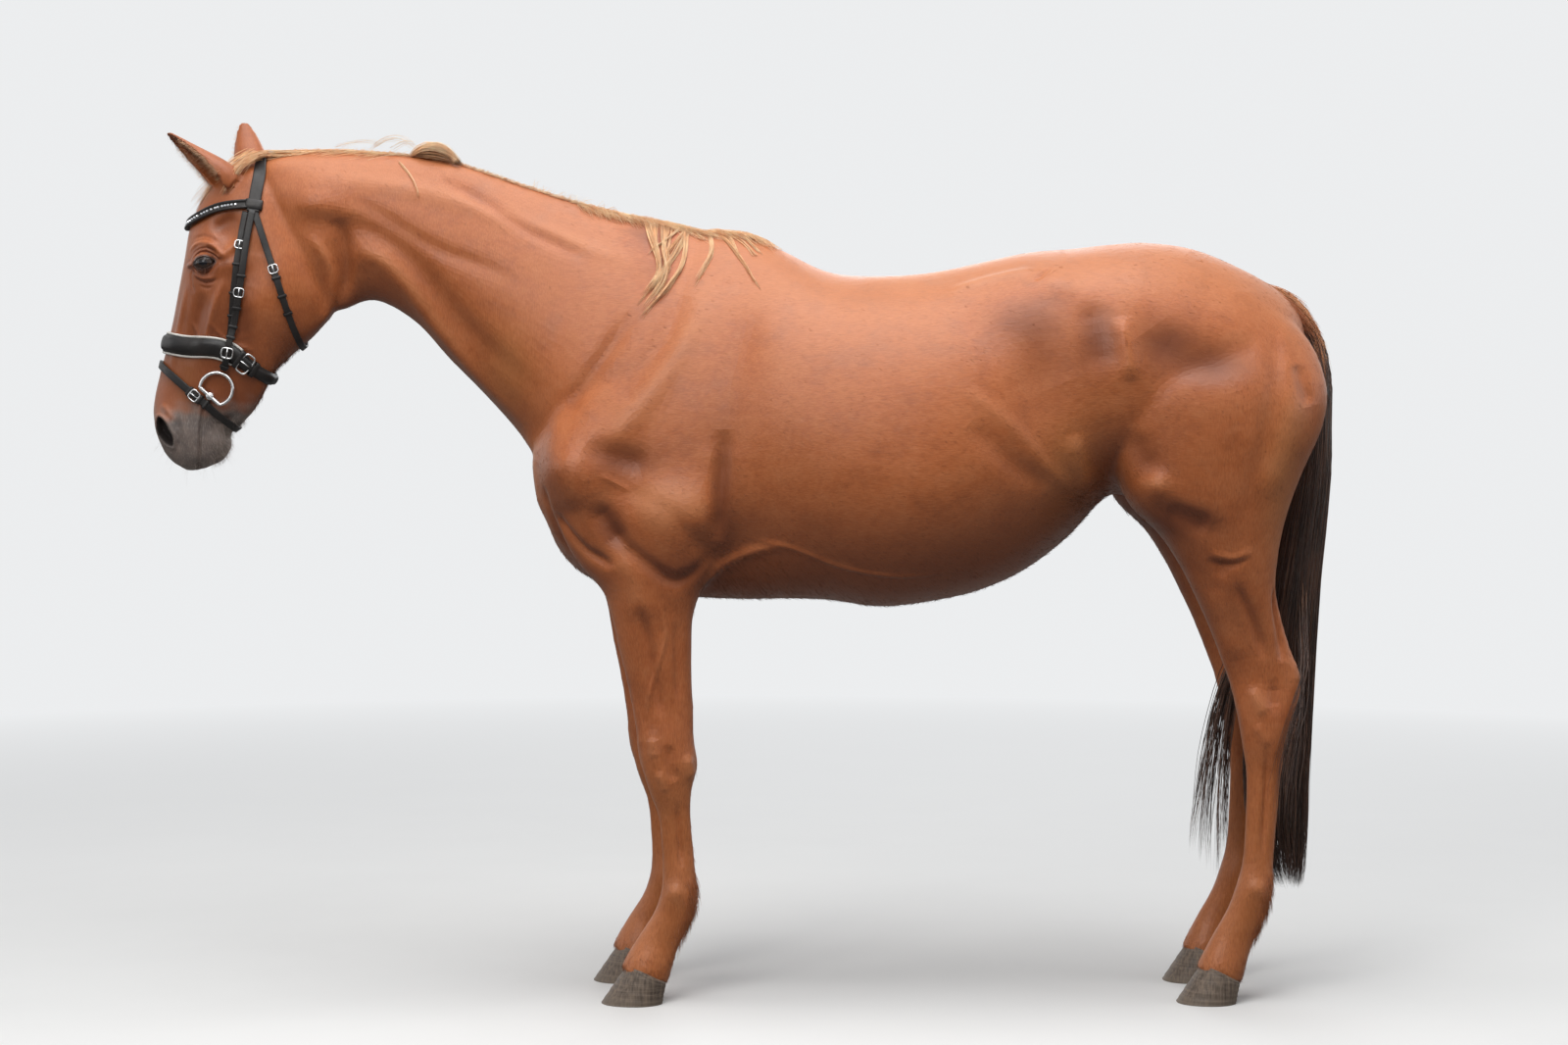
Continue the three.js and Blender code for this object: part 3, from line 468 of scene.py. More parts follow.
strokes = {
    "side": {
        "upperNeckGroove": (-7, 28, -990, 1740, -940, 1690, -868, 1675, -788, 1658, -693, 1583, -597, 1461, -500,
                            1370, -400, 1290),
        "crestGroove": (-5, 16, -660, 1775, -597, 1748, -483, 1677, -393, 1633, -320, 1600),
        "midNeckGroove": (-4, 18, -860, 1735, -788, 1705, -662, 1627, -553, 1585, -460, 1540),
        "foreArmTop": (8, 34, -246, 940, -222, 870),
        "lowerNeckBand": (9, 24, -880, 1600, -788, 1606, -725, 1547, -662, 1461, -560, 1340, -450, 1225),
        "jugularGroove": (-9, 15, -790, 1500, -720, 1450, -630, 1352, -545, 1262, -462, 1175),
        "crestEdge": (4, 22, -960, 1775, -800, 1765, -640, 1735, -480, 1680, -320, 1620, -180, 1580),
        "throatGroove": (-12, 17, -872, 1690, -858, 1640, -854, 1590, -858, 1545, -872, 1500),
        "jawEdge": (8, 13, -934, 1656, -902, 1614, -888, 1559, -892, 1506, -918, 1455, -948, 1412),
        "cheekHollow": (-4, 22, -1085, 1500, -1075, 1430),
        "shoulderFront": (-6, 20, -225, 1490, -285, 1401, -345, 1313, -385, 1225),
        "shoulderSpine": (5, 30, -60, 1560, -135, 1400, -230, 1262, -320, 1180),
        "shoulderHollow": (-4, 32, -105, 1520, -175, 1400, -262, 1290),
        "shoulderBehind": (-4, 40, 30, 1500, -15, 1380, -36, 1240, -40, 1180),
        "shoulderPoint": (10, 42, -372, 1152, -350, 1100),
        "shoulderDip": (-9, 30, -330, 1206, -262, 1178, -190, 1160),
        "armVein": (2.0, 6, -300, 1140, -268, 1126, -228, 1104),
        "armDip": (-12, 23, -292, 1052, -268, 1014),
        "chestCrease": (-8, 12, -392, 1062, -378, 1031, -334, 981, -292, 957, -270, 940),
        "upperArmBulge": (17, 58, -168, 1070, -104, 1042),
        "upperArmEdge": (-9, 16, -284, 1030, -246, 991, -188, 944, -139, 915, -95, 934, -60, 985),
        "upperArmBack": (-14, 18, -34, 1240, -40, 1140, -46, 1060, -54, 1000),
        "elbowFold": (7, 12, -86, 888, -70, 915, -32, 952, 36, 981, 110, 992),
        "chestVein": (2.5, 6, 0, 1010, 110, 985, 216, 944, 330, 925, 430, 930),
        "bellyLine": (3, 17, 430, 1345, 502, 1298, 580, 1233, 648, 1154, 714, 1109, 766, 1096),
        "bellyLineUnder": (-6, 26, 480, 1255, 560, 1175, 650, 1110),
        "flankHollow": (-8, 62, 520, 1470, 610, 1400, 650, 1320),
        "flankFold": (7, 22, 700, 1230, 712, 1160, 742, 1105),
        "loinEdge": (5, 15, 440, 1530, 540, 1560, 630, 1578),
        "hipCrease": (-4, 6, 618, 1553, 642, 1567, 660, 1585),
        "hipHollow": (-10, 38, 745, 1470, 757, 1400),
        "hipBand": (8, 20, 797, 1478, 812, 1410, 822, 1335),
        "croupHollow": (-10, 52, 862, 1452, 906, 1400, 985, 1372, 1050, 1398),
        "thighFront": (8, 46, 800, 1260, 838, 1130),
        "thighDip": (-7, 30, 838, 1200, 852, 1170),
        "stifleHollow": (-12, 26, 893, 1066, 945, 1045, 990, 1028),
        "kneeCap": (8, 26, 880, 1120),
        "thighGroove": (-4.5, 24, 1120, 1500, 1134, 1420, 1118, 1290, 1088, 1150, 1055, 1020),
        "thighBack": (6, 34, 1170, 1330, 1148, 1200, 1105, 1090),
        "buttockCrease": (-8, 20, 1178, 1378, 1192, 1332, 1204, 1285),
        "gaskinCrease": (-4, 9, 985, 964, 1010, 950, 1042, 950, 1081, 968),
        "gaskinDip": (-7, 18, 1018, 940),
        "gaskinRidge": (3, 10, 985, 978, 1040, 963, 1085, 980),
        "gaskinGroove": (-8, 11, 1050, 915, 1075, 855, 1102, 795, 1118, 740),
        "gaskinMuscle": (5, 26, 1000, 900, 1035, 810, 1060, 740),
        "heelCordGroove": (-11, 12, 1138, 905, 1146, 850, 1156, 790, 1160, 735),
        "hockPoint": (4, 16, 1186, 745, 1192, 690),
        "hockBone": (6, 15, 1098, 668, 1112, 640),
        "hockDip": (-6, 13, 1140, 690, 1142, 640),
        "hockLower": (3, 12, 1108, 592, 1120, 570),
        "hindCannonGroove": (-7, 7.5, 1126, 560, 1128, 480, 1124, 400, 1119, 310),
        "hindFetlock": (5, 17, 1108, 250),
        "forearmGroove": (-8, 12, -222, 880, -200, 790, -184, 700, -170, 620),
        "forearmBack": (-5, 10, -138, 830, -135, 740, -132, 650),
        "forearmVein": (3, 5.5, -176, 870, -160, 800, -176, 735, -198, 660, -200, 610),
        "kneeRidge": (6, 12, -190, 580, -186, 530),
        "kneeRidgeLow": (5, 11, -172, 492, -166, 470),
        "kneeDip": (-6, 11, -150, 566, -152, 520, -140, 480),
        "kneeBackBone": (8, 13, -112, 524, -108, 500),
        "foreCannonGroove": (-7, 7.5, -136, 440, -134, 390, -131, 340, -127, 290),
        "foreFetlock": (5, 17, -142, 242),
        "cheekBone": (6, 11, -1126, 1600, -1098, 1622, -1068, 1650),
        "fossa": (-7, 17, -1122, 1672, -1104, 1682),
        "faceCrestLine": (4.5, 8, -1112, 1560, -1132, 1505, -1148, 1455, -1160, 1405),
        "faceVein": (1.8, 4.5, -1190, 1470, -1172, 1430, -1150, 1400),
        "cheekPlane": (-5, 26, -1040, 1610, -1060, 1540),
        "faceGroove": (-5, 15, -1158, 1530, -1180, 1450, -1200, 1370),
        "noseBone": (3.5, 9, -1196, 1560, -1212, 1490, -1228, 1420, -1240, 1350),
        "cheekVein": (1.6, 4, -1148, 1470, -1120, 1435, -1085, 1415, -1050, 1402),
        "chinGroove": (-6, 10, -1100, 1262, -1122, 1250, -1140, 1246),
        "chinBulge": (4, 18, -1132, 1206),
    },
    "front": {
        "sternumGroove": (-14, 17, 0, 1270, 0, 1150, 0, 1010),
        "chestBulge": (12, 44, 78, 1180, 86, 1090),
        "chestSide": (-7, 14, 170, 1120, 150, 1040, 118, 960),
        "kneeFront": (3, 16, 136, 560, 136, 520),
    },
    "back": {
        "buttockCleft": (-24, 17, 0, 1380, 0, 1260, 0, 1140, 0, 1040),
        "buttockBulge": (7, 44, 92, 1300, 96, 1180),
    },
    "top": {
        "backGroove": (-4, 15, 0, 260, 0, 500, 0, 760, 0, 1040),
        "loinMuscle": (4, 42, 66, 220, 74, 420, 78, 640),
    },
    "below": {
        "breastLine": (-8, 16, 0, -300, 0, -120, 0, 60),
        "jawGroove": (-12, 15, 0, -1090, 0, -1040, 0, -990),
        "lipNotch": (-11, 8, 1, -1181, 42, -1179),
    },
}
fineStrokes = {
    "side": {
        "browFold": (3.4, 5, -1194, 1612, -1184, 1628, -1162, 1637, -1138, 1632, -1118, 1614, -1106, 1600),
        "browCrease": (-2.4, 3.2, -1186, 1606, -1176, 1618, -1158, 1626, -1138, 1621, -1122, 1606),
        "upperBrowCrease": (-2.4, 4.5, -1188, 1642, -1164, 1652, -1138, 1647, -1118, 1632),
        "underEyeBag": (2.2, 4.5, -1184, 1574, -1168, 1562, -1146, 1558, -1126, 1567),
        "underEyeCrease": (-2, 3.4, -1178, 1562, -1162, 1551, -1142, 1549, -1122, 1560),
        "underEyeLow": (-1.4, 3.2, -1170, 1546, -1154, 1538, -1136, 1541),
        "tearLine": (-2, 3.6, -1184, 1582, -1188, 1566, -1186, 1545, -1180, 1525),
        "nostrilFold": (-3, 6, -1226, 1262, -1216, 1235, -1218, 1205, -1230, 1186),
        "nostrilRidge": (2.4, 6, -1262, 1290, -1244, 1276, -1228, 1250),
        "lipCorner": (-3, 7, -1160, 1296, -1152, 1310),
        "lipWrinkle": (-1.4, 3, -1150, 1280, -1142, 1262, -1144, 1240),
        "upperLipEdge": (2.2, 5, -1178, 1270, -1180, 1225, -1182, 1180, -1196, 1162),
    },
}
# ray start (as multiples of the view's own axis) and the axes a path is given in
views = {"side": ((1, 0, 0), (1, 2)), "front": ((0, -1, 0), (0, 2)), "back": ((0, 1, 0), (0, 2)),
         "top": ((0, 0, 1), (0, 1)), "below": ((0, 0, -1), (0, 1))}


def castPath(tree, view, path, side, step=12):
    # lays a drawn path on the surface, seen from its view
    out, axes = views[view]
    out = np.array(out, float) * (side if view == "side" else 1)
    path = np.array(path, float) / 1000
    if len(path) > 1:
        length = np.linalg.norm(np.diff(path, axis=0), axis=1).sum()
        path = spline(path, np.linspace(0, 1, max(4, int(length * 1000 / step))))
    found = []
    for a, b in path:
        start = out * 4
        start[axes[0]], start[axes[1]] = a, b
        if view != "side":
            start[0] *= side
        hit = castRay(tree, start, -out)
        if hit:
            found.append(hit[0])
    return np.array(found), out


def pathDistance(p, line):
    # how far each point lies from a line, and at what share of its length
    if len(line) == 1:
        return np.linalg.norm(p - line[0], axis=1), np.full(len(p), .5)
    best, share = np.full(len(p), 9.0), np.zeros(len(p))
    for i in range(len(line) - 1):
        a, d = line[i], line[i + 1] - line[i]
        t = np.clip((p - a) @ d / max(d @ d, 1e-12), 0, 1)
        gap = np.linalg.norm(p - a - t[:, None] * d, axis=1)
        closer = gap < best
        best[closer], share[closer] = gap[closer], ((i + t) / (len(line) - 1))[closer]
    return best, share


def strokeLift(points, normals, tree, drawn=strokes):
    lift = np.zeros(len(points))
    for view, (height, reach, *path) in [(view, mark) for view, marks in drawn.items() for mark in marks.values()]:
        reach, path = reach / 1000, np.reshape(path, (-1, 2))
        for side in ((1, -1) if view == "side" or path[0][0] else (1,)):
            line, out = castPath(tree, view, path, side)
            if not len(line):
                continue
            low, high = line.min(0) - 2.6 * reach, line.max(0) + 2.6 * reach
            near = np.where(np.all((points > low) & (points < high), 1))[0]
            gap, share = pathDistance(points[near], line)
            long = np.linalg.norm(np.diff(line, axis=0), axis=1).sum() / reach
            ends = 1 - between(1.5, 6, long) * (1 - between(-.02, .3, share) * between(-.02, .3, 1 - share))
            facing = between(0, .45, normals[near] @ out)
            lift[near] += height / 1000 * np.exp(-(gap / reach) ** 2) * ends * facing
    return lift


skinLook = {
    "roughVoxel": .0085, "roughRounds": 26, "fineVoxel": .0045, "fineRounds": 7, "triangles": 188000, "coatDepth": .002,
    "headSofter": .75, "legSofter": .6, "earSofter": .25, "headKept": .78, "earKept": .92, "mostKept": .97,
    "unwrapAngle": 66, "unwrapGap": .0015,
}

forms = [loftForm("trunk", 150, 96), loftForm("neck", 80, 72), loftForm("skull", 110, 72)]
for side in (1, -1):
    forms += [loftForm("foreLeg", 140, 48, side, farForeAhead if side < 0 else 0), loftForm("hindLeg", 150, 48, side)]
skin = joinObjects(forms)
skin.name = "skin"
applyModifier(skin, "REMESH", mode="VOXEL", voxel_size=skinLook["roughVoxel"])
points, edges = pointsOf(skin), edgesOf(skin)
# the head and the lower legs keep more of their forms
softer = 1 - skinLook["headSofter"] * between(-.86, -.95, points[:, 1]) * between(1.1, 1.2, points[:, 2])
softer *= 1 - skinLook["legSofter"] * between(.62, .5, points[:, 2])
setPoints(skin, relax(points, edges, softer, skinLook["roughRounds"]))
skin = joinObjects([skin, earShell("left"), earShell("right")])
applyModifier(skin, "REMESH", mode="VOXEL", voxel_size=skinLook["fineVoxel"])
points, edges = pointsOf(skin), edgesOf(skin)
atEars = between(1.772, 1.79, points[:, 2]) * between(-1.03, -1.06, points[:, 1])
setPoints(skin, relax(points, edges, 1 - skinLook["earSofter"] * atEars, skinLook["fineRounds"]))
setPoints(skin, pointsOf(skin) - normalsOf(skin) * (ears["thinned"] * atEars)[:, None])
print("body joined:", len(points), "points")
start = pointsOf(skin)
tree = BVHTree.FromObject(skin, bpy.context.evaluated_depsgraph_get())
lift = strokeLift(start, normalsOf(skin), tree)
setPoints(skin, start + normalsOf(skin) * (lift - skinLook["coatDepth"] * (1 - atEars))[:, None])
print("strokes laid")


# eyes, nostrils and mouth: finer mesh there, then shaped by numbers

headLook = {
    "eye": (.078, -1.155, 1.593), "ball": .0230, "eyeTurn": 8, "halfLong": .0232, "halfHigh": .0128,
    "lid": .0026, "lidReach": .0085,
    "nostril": (-1.2530, 1.2265), "nostrilTurn": -64, "nostrilLong": .035, "nostrilHigh": .0145, "nostrilDeep": .024,
    "nostrilLift": .010,
    "mouth": [(-1162, 1300), (-1168, 1270), (-1172, 1235), (-1174, 1200), (-1176, 1170), (-1178, 1150)],
    "mouthMiddle": (.045, -1.168, 1.235), "mouthDeep": .0065, "lipFull": .0016,
}


def refine(centres, reach):
    # splits the faces near some points once more
    editMesh(skin, (bpy.ops.mesh.select_all, {"action": "DESELECT"}))
    middle = readAll(skin.data.polygons, "center", 3)
    chosen = np.zeros(len(middle), bool)
    for c in centres:
        chosen |= np.linalg.norm(middle - np.array(c), axis=1) < reach
    skin.data.polygons.foreach_set("select", chosen)
    bpy.ops.object.mode_set(mode="EDIT")
    bpy.ops.mesh.select_mode(type="FACE")
    bpy.ops.mesh.subdivide(number_cuts=1)
    bpy.ops.object.mode_set(mode="OBJECT")


def bothSides(*spots):
    return [(s * x, y, z) for x, y, z in spots for s in (1, -1)]


ex, ey, ez = headLook["eye"]
ny, nz = headLook["nostril"]
nostrilMiddle = (.05, ny, nz)
for spots, reach in (([(ex + .012, ey, ez)], .068), ([nostrilMiddle], .052),
                     ([(.045, -1.168, 1.28), headLook["mouthMiddle"], (.04, -1.168, 1.19)], .034),
                     ([(ex + .015, ey, ez)], .046), ([nostrilMiddle], .04)):
    refine(bothSides(*spots), reach)
points, edges = pointsOf(skin), edgesOf(skin)
fine = np.zeros(len(points))
for spot, reach in (((ex + .015, ey, ez), .05), (nostrilMiddle, .05), (headLook["mouthMiddle"], .08)):
    for centre in bothSides(spot):
        fine = np.maximum(fine, between(reach, reach * .8, np.linalg.norm(points - np.array(centre), axis=1)))
points = relax(points, edges, fine, 4)
setPoints(skin, points)
points = points + normalsOf(skin) * strokeLift(points, normalsOf(skin), tree, fineStrokes)[:, None]


def almond(p, q, long, high):
    # below 0 inside the opening, then about the distance from its edge
    p2, q2 = p / long, q / (high * np.sqrt(np.clip(1 - .45 * np.abs(p / long) ** 2.2, .12, 1)))
    r = np.sqrt(p2 ** 2 + q2 ** 2)
    away = np.maximum(r, .05)
    return (r - 1) * (long * high) / np.sqrt((high * p2 / away) ** 2 + (long * q2 / away) ** 2 + 1e-12)


def shapeEye(points, side):
    centre = np.array([side * ex, ey, ez])
    near = np.where((np.linalg.norm(points - centre, axis=1) < .06) & (points[:, 0] * side > .055))[0]
    dy, dz = points[near, 1] - centre[1], points[near, 2] - centre[2]
    along, up = turned(dy, dz, headLook["eyeTurn"])
    edge = almond(along, up, headLook["halfLong"], headLook["halfHigh"])
    radius, lid = headLook["ball"], headLook["lid"]
    ball = ex + np.sqrt(np.maximum(radius ** 2 - dy ** 2 - dz ** 2, 0))  # the eyeball's outer face at each point
    lidTop = ball + lid * np.where(up > 0, 1.25, .95)
    onLid = between(headLook["lidReach"] * 2.6, .0015, edge)
    x = points[near, 0] * side
    far = np.sqrt(dy ** 2 + dz ** 2)
    lidTop = np.where(far > radius * .94, np.minimum(lidTop, ex + .34 * radius + lid), lidTop)
    x = x * (1 - onLid) + np.maximum(lidTop, x - .004) * onLid
    fold = .0017 * np.exp(-((edge - .0105) / .0022) ** 2) * between(-.2, .6, up / .014)
    x = x - fold - .0012 * np.exp(-((edge - .0085) / .002) ** 2) * between(.2, -.6, up / .014)
    inside = between(.0004, -.0026, edge)
    x = x * (1 - inside) + (ball - .007) * inside
    points[near, 0] = side * x
    return near, edge


def shapeNostril(points, side):
    dy, dz = points[:, 1] - ny, points[:, 2] - nz
    near = np.where((np.abs(dy) < .06) & (np.abs(dz) < .06) & (points[:, 0] * side > .012))[0]
    along, up = turned(dy[near], dz[near], headLook["nostrilTurn"])
    edge = almond(along, up - .14 * np.abs(along), headLook["nostrilLong"], headLook["nostrilHigh"])
    rim = .0042 * np.exp(-((edge - .004) / .005) ** 2)
    pit = between(.001, -.009, edge)
    points[near, 0] = side * (points[near, 0] * side + rim - headLook["nostrilDeep"] * pit)
    points[near, 2] += headLook["nostrilLift"] * pit
    return near, edge


eyeEdge, nostrilEdge = np.full(len(points), .1), np.full(len(points), .1)
for side in (1, -1):
    near, edge = shapeEye(points, side)
    eyeEdge[near] = edge
    near, edge = shapeNostril(points, side)
    nostrilEdge[near] = edge
for side, centre in zip((1, -1), bothSides(headLook["mouthMiddle"])):
    line = castPath(tree, "side", headLook["mouth"], side, 5)[0]
    near = np.where(np.linalg.norm(points - np.array(centre), axis=1) < .11)[0]
    gap, share = pathDistance(points[near], line)
    deep = between(0, .12, share) * between(-.1, .3, points[near, 0] * side / .03)
    points[near, 0] -= side * headLook["mouthDeep"] * np.exp(-(gap / .0026) ** 2) * deep
    points[near, 0] += side * headLook["lipFull"] * np.exp(-((gap - .007) / .004) ** 2) * deep
setPoints(skin, points)
print("eyes, nostrils and mouth shaped:", len(points), "points")


def setAttribute(obj, name, values):
    layer = obj.data.attributes.new(name, "FLOAT", "POINT")
    layer.data.foreach_set("value", np.asarray(values, np.float32))


# the coat's own marks, with painted shade in hollows and under the body and painted light on tops, for skin and coat
# alike, from where a point lies: (y, z, reach in y, reach in z), in m

markingsAndShade = {
    # the strengths of painted shade in hollows, under the body and under the mane's roll, and of painted light on faces
    # turned up
    "muzzleTop": 1.290, "muzzleFront": 1.272, "hollowShade": .27, "underShade": .38, "topLight": .10, "lidShade": .12,
    "headShade": .16, "cheekShade": .12, "underManeShade": [(.5, -.205, 1.668, .026, .032), (.2, -.185, 1.60, .035, .06)],
    "warm": [(.70, 1.14, .07, .11), (1.15, 1.12, .045, .17), (-.50, 1.36, .05, .09), (-1.20, 1.36, .03, .08)],
    "hollows": [(.753, 1.43, .05, .065), (.90, 1.42, .07, .06), (1.0, 1.37, .09, .045), (.95, 1.04, .07, .03),
                (.842, 1.18, .05, .04), (-.27, 1.03, .045, .05), (-.38, 1.14, .06, .06), (-.13, .93, .08, .03),
                (-.865, 1.58, .03, .09), (-.035, 1.08, .025, .12), (-.24, 1.17, .09, .04), (.62, 1.47, .07, .05),
                (-.74, 1.43, .05, .07), (-.62, 1.30, .06, .07), (-.50, 1.18, .05, .06), (-.90, 1.50, .03, .06)],
}


def markPoints(p, n, lift, eye, nostril):
    x, y, z = np.abs(p[:, 0]), p[:, 1], p[:, 2]
    top = markingsAndShade["muzzleTop"] + (markingsAndShade["muzzleFront"] - markingsAndShade["muzzleTop"]) * between(-1.19, -1.25, y)
    wave = .006 * np.sin(y * 170 + x * 90) + .005 * np.sin(z * 230 + y * 60)
    onHead = between(-1.03, -1.07, y)
    muzzle = between(top + .022, top - .034, z + wave) * onHead
    warm, hollow = .5 * between(.62, .40, z), np.zeros(len(p))
    for cy, cz, ry, rz in markingsAndShade["warm"]:
        warm = np.maximum(warm, spotAt(y, z, cy, cz, ry, rz))
    for cy, cz, ry, rz in markingsAndShade["hollows"]:
        hollow = np.maximum(hollow, spotAt(y, z, cy, cz, ry, rz) * between(.05, .12, x))
    # painted shade in the listed hollows and in the sculpted grooves, painted highlight on the sculpted ridges
    shade = 1 - markingsAndShade["hollowShade"] * hollow + np.clip(lift * 16, -.28, .12)
    # painted shade on faces turned down
    shade -= markingsAndShade["underShade"] * between(.05, .8, -n[:, 2]) * between(.55, .8, z)  # under the belly and neck
    # painted light on faces turned up
    shade += markingsAndShade["topLight"] * between(.2, .9, n[:, 2])
    # painted shade under the mane's roll
    for deep, *spot in markingsAndShade["underManeShade"]:
        shade -= deep * spotAt(y, z, *spot) * between(.0, .02, p[:, 0])
    shade -= markingsAndShade["lidShade"] * between(.05, .02, eye)
    cheek = markingsAndShade["headShade"] + markingsAndShade["cheekShade"] * between(1.62, 1.42, z)
    shade -= cheek * onHead * (1 - muzzle)
    dark = np.maximum(between(.0075, .001, eye) * .85, between(.005, -.003, nostril))
    return {"shade": shade, "muzzle": muzzle, "warm": np.clip(warm, 0, 1), "dark": dark}


marks = ("shade", "muzzle", "warm", "dark")
start = pointsOf(skin)
# the strokes' lift, the fine ones weighted more, also paints shade into grooves and light onto ridges
lifted = strokeLift(start, normalsOf(skin), tree) + 2.2 * strokeLift(start, normalsOf(skin), tree, fineStrokes)
for name, values in markPoints(start, normalsOf(skin), lifted, eyeEdge, nostrilEdge).items():
    setAttribute(skin, name, values)
group = skin.vertex_groups.new(name="plain")
atHead = between(-.93, -1.02, start[:, 1]) * between(1.12, 1.15, start[:, 2])
atEars = between(1.70, 1.73, start[:, 2]) * between(-1.0, -1.03, start[:, 1])
kept = np.maximum(skinLook["headKept"] * atHead, between(.016, .008, np.minimum(eyeEdge, nostrilEdge)))
kept = np.maximum(kept, skinLook["earKept"] * atEars)
plain = np.round((1 - skinLook["mostKept"] * kept) * 20) / 20  # in steps, so that few groups of points are added
for w in np.unique(plain):
    group.add(np.where(plain == w)[0].tolist(), float(w), "REPLACE")
faces = len(skin.data.loops) - 2 * len(skin.data.polygons)
applyModifier(skin, "DECIMATE", ratio=skinLook["triangles"] / faces, vertex_group="plain", vertex_group_factor=1.0)
skin.vertex_groups.clear()
editMesh(skin, (bpy.ops.mesh.quads_convert_to_tris, {}))
print("skin thinned:", len(skin.data.polygons), "triangles")

skin.data.uv_layers.new(name="OFBake")
editMesh(skin, (bpy.ops.uv.smart_project, {"angle_limit": math.radians(skinLook["unwrapAngle"]),
                                           "island_margin": skinLook["unwrapGap"]}))
print("skin unwrapped")


# coat colours: one set of nodes for skin and hair

coatLook = {
    "base": (.445, .123, .034), "deep": (.185, .046, .014), "bright": (.63, .25, .105), "warm": (.50, .19, .052),
    "grey": (.105, .086, .080), "greyPale": (.25, .185, .155), "greyHair": (.46, .40, .36), "black": (.018, .013, .012),
    "rough": .40, "sheen": .20, "sheenRough": .42, "sheenTint": (1.0, .80, .68),
}


def paintCoat(name, hair=False):
    p = Paint(name)
    shade, muzzle, warm, dark = [p.attribute(m) for m in marks]
    base, deep, bright = coatLook["base"], coatLook["deep"], coatLook["bright"]
    broad, spots, mottle = p.grain((2.6, 1.9, 2.6)), p.grain((17, 13, 17)), p.grain((52, 40, 52), 4.0)
    level = p.attribute("level")  # 0 on legs, neck and face, where hair runs down; 1 on the trunk
    streaks = [p.blend(level, p.grain((across, across, along), 2.0, .6),
                       p.grain((across, along, across), 2.0, .6, (.25, 0, 0)))
               for across, along in ((420, 60), (1500, 160))]
    fine, strand = streaks
    colour = p.mix(p.span(broad, .35, .65), base, tuple(v * 1.13 for v in base))
    colour = p.tint(colour, spots, .45, .75, .22, bright)
    colour = p.tint(colour, spots, .48, .25, .28, deep)
    colour = p.tint(colour, mottle, .52, .80, .20, bright)
    colour = p.tint(colour, mottle, .46, .22, .22, deep)
    colour = p.mix(p.math("MULTIPLY", warm, .5), colour, coatLook["warm"])
    colour = p.tint(colour, fine, .5, .85, .42, bright)
    colour = p.tint(colour, fine, .5, .18, .42, deep)
    # the shade attribute paints shade and light into the colour: below 1 towards the deep colour, above 1 towards the
    # bright one
    colour = p.tint(colour, shade, 1.0, .55, 1, deep)
    colour = p.tint(colour, shade, 1.0, 1.25, 1, bright)
    grey = p.mix(p.span(p.grain((26, 26, 26), 5.0, .7), .30, .78), coatLook["grey"], coatLook["greyPale"])
    grey = p.tint(grey, p.grain((520, 520, 90)), .50, .82, .55, coatLook["greyHair"])
    colour = p.mix(dark, p.mix(muzzle, colour, grey), coatLook["black"])
    if hair:
        pick = p.attribute("pick")
        colour = p.tint(colour, pick, .5, 1, .30, bright)
        colour = p.tint(colour, pick, .5, 0, .30, deep)
    rough = p.math("ADD", p.span(spots, .3, .7, (coatLook["rough"] - .05, coatLook["rough"] + .05)),
                   p.math("MULTIPLY", muzzle, .12))
    height = p.math("ADD", p.math("MULTIPLY", fine, .7), p.math("MULTIPLY", strand, .5))
    height = p.blend(muzzle, height, p.grain((900, 900, 900), 2.0))
    normal = p.bump(height, .35, .0012, p.bump(spots, .12, .004))
    return p.finish(Base_Color=colour, Roughness=rough, Specular_IOR_Level=.45, Sheen_Weight=coatLook["sheen"],
                    Sheen_Roughness=coatLook["sheenRough"], Sheen_Tint=coatLook["sheenTint"], Normal=normal)


def coatLevel(p):
    # 1 where the hair runs back along the trunk, 0 where it runs down
    y, z = p[:, 1], p[:, 2]
    return between(.84, 1.02, z) * between(-.52, -.25, y) * between(1.16, .98, y + .35 * (1.5 - z))


skin.data.materials.clear()
skin.data.materials.append(paintCoat("coatPaint"))
setAttribute(skin, "level", coatLevel(pointsOf(skin)))
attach(skin, "root")
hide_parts("head", "neck", "trunk", "fore_leg_left", "fore_leg_right", "hind_leg_left", "hind_leg_right",
            "ear_left", "ear_right")


# hair: thin closed spikes in one mesh, each a small patch on the skin's unwrap

class SkinMap:
    # looks up the skin: nearest point, its normal, its marks and its place on the unwrap
    def __init__(self):
        self.tree = BVHTree.FromObject(skin, bpy.context.evaluated_depsgraph_get())
        self.points, self.normals = pointsOf(skin), normalsOf(skin)
        self.corners = readAll(skin.data.loops, "vertex_index", 1, np.int32).reshape(-1, 3)
        self.uv = readAll(skin.data.uv_layers["OFBake"].data, "uv", 2).reshape(-1, 3, 2).astype(float)
        # the skin's marks, its painted shade and light among them, go on to the hair that grows there
        self.marks = {m: readAll(skin.data.attributes[m].data, "value").astype(float) for m in (*marks, "level")}
        a, b, c = [self.points[self.corners[:, k]] for k in range(3)]
        cross = np.cross(b - a, c - a)
        self.area = np.linalg.norm(cross, axis=1) / 2
        self.middle = (a + b + c) / 3
        self.facing = unit(cross)

    def scatter(self, weight, count):
        # random spots on the skin, as many per area as the weight of a face says
        share = self.area * weight
        face = dice.choice(len(share), size=count, p=share / share.sum())
        r = np.sqrt(dice.random(count))
        s = dice.random(count)
        return face, np.stack([1 - r, r * (1 - s), r * s], 1)

    def at(self, face, w):
        # place, normal, place on the unwrap and marks of spots inside faces
        tri, share = self.corners[face], w[:, :, None]
        place, uv = (self.points[tri] * share).sum(1), (self.uv[face] * share).sum(1)
        marked = {m: (v[tri] * w).sum(1) for m, v in self.marks.items()}
        return place, unit((self.normals[tri] * share).sum(1)), uv, marked

    def nearest(self, spots):
        face = np.array([self.tree.find_nearest(Vector(s))[2] for s in spots])
        return self.at(face, np.full((len(face), 3), 1 / 3))


skinMap = SkinMap()
patchSize = .003


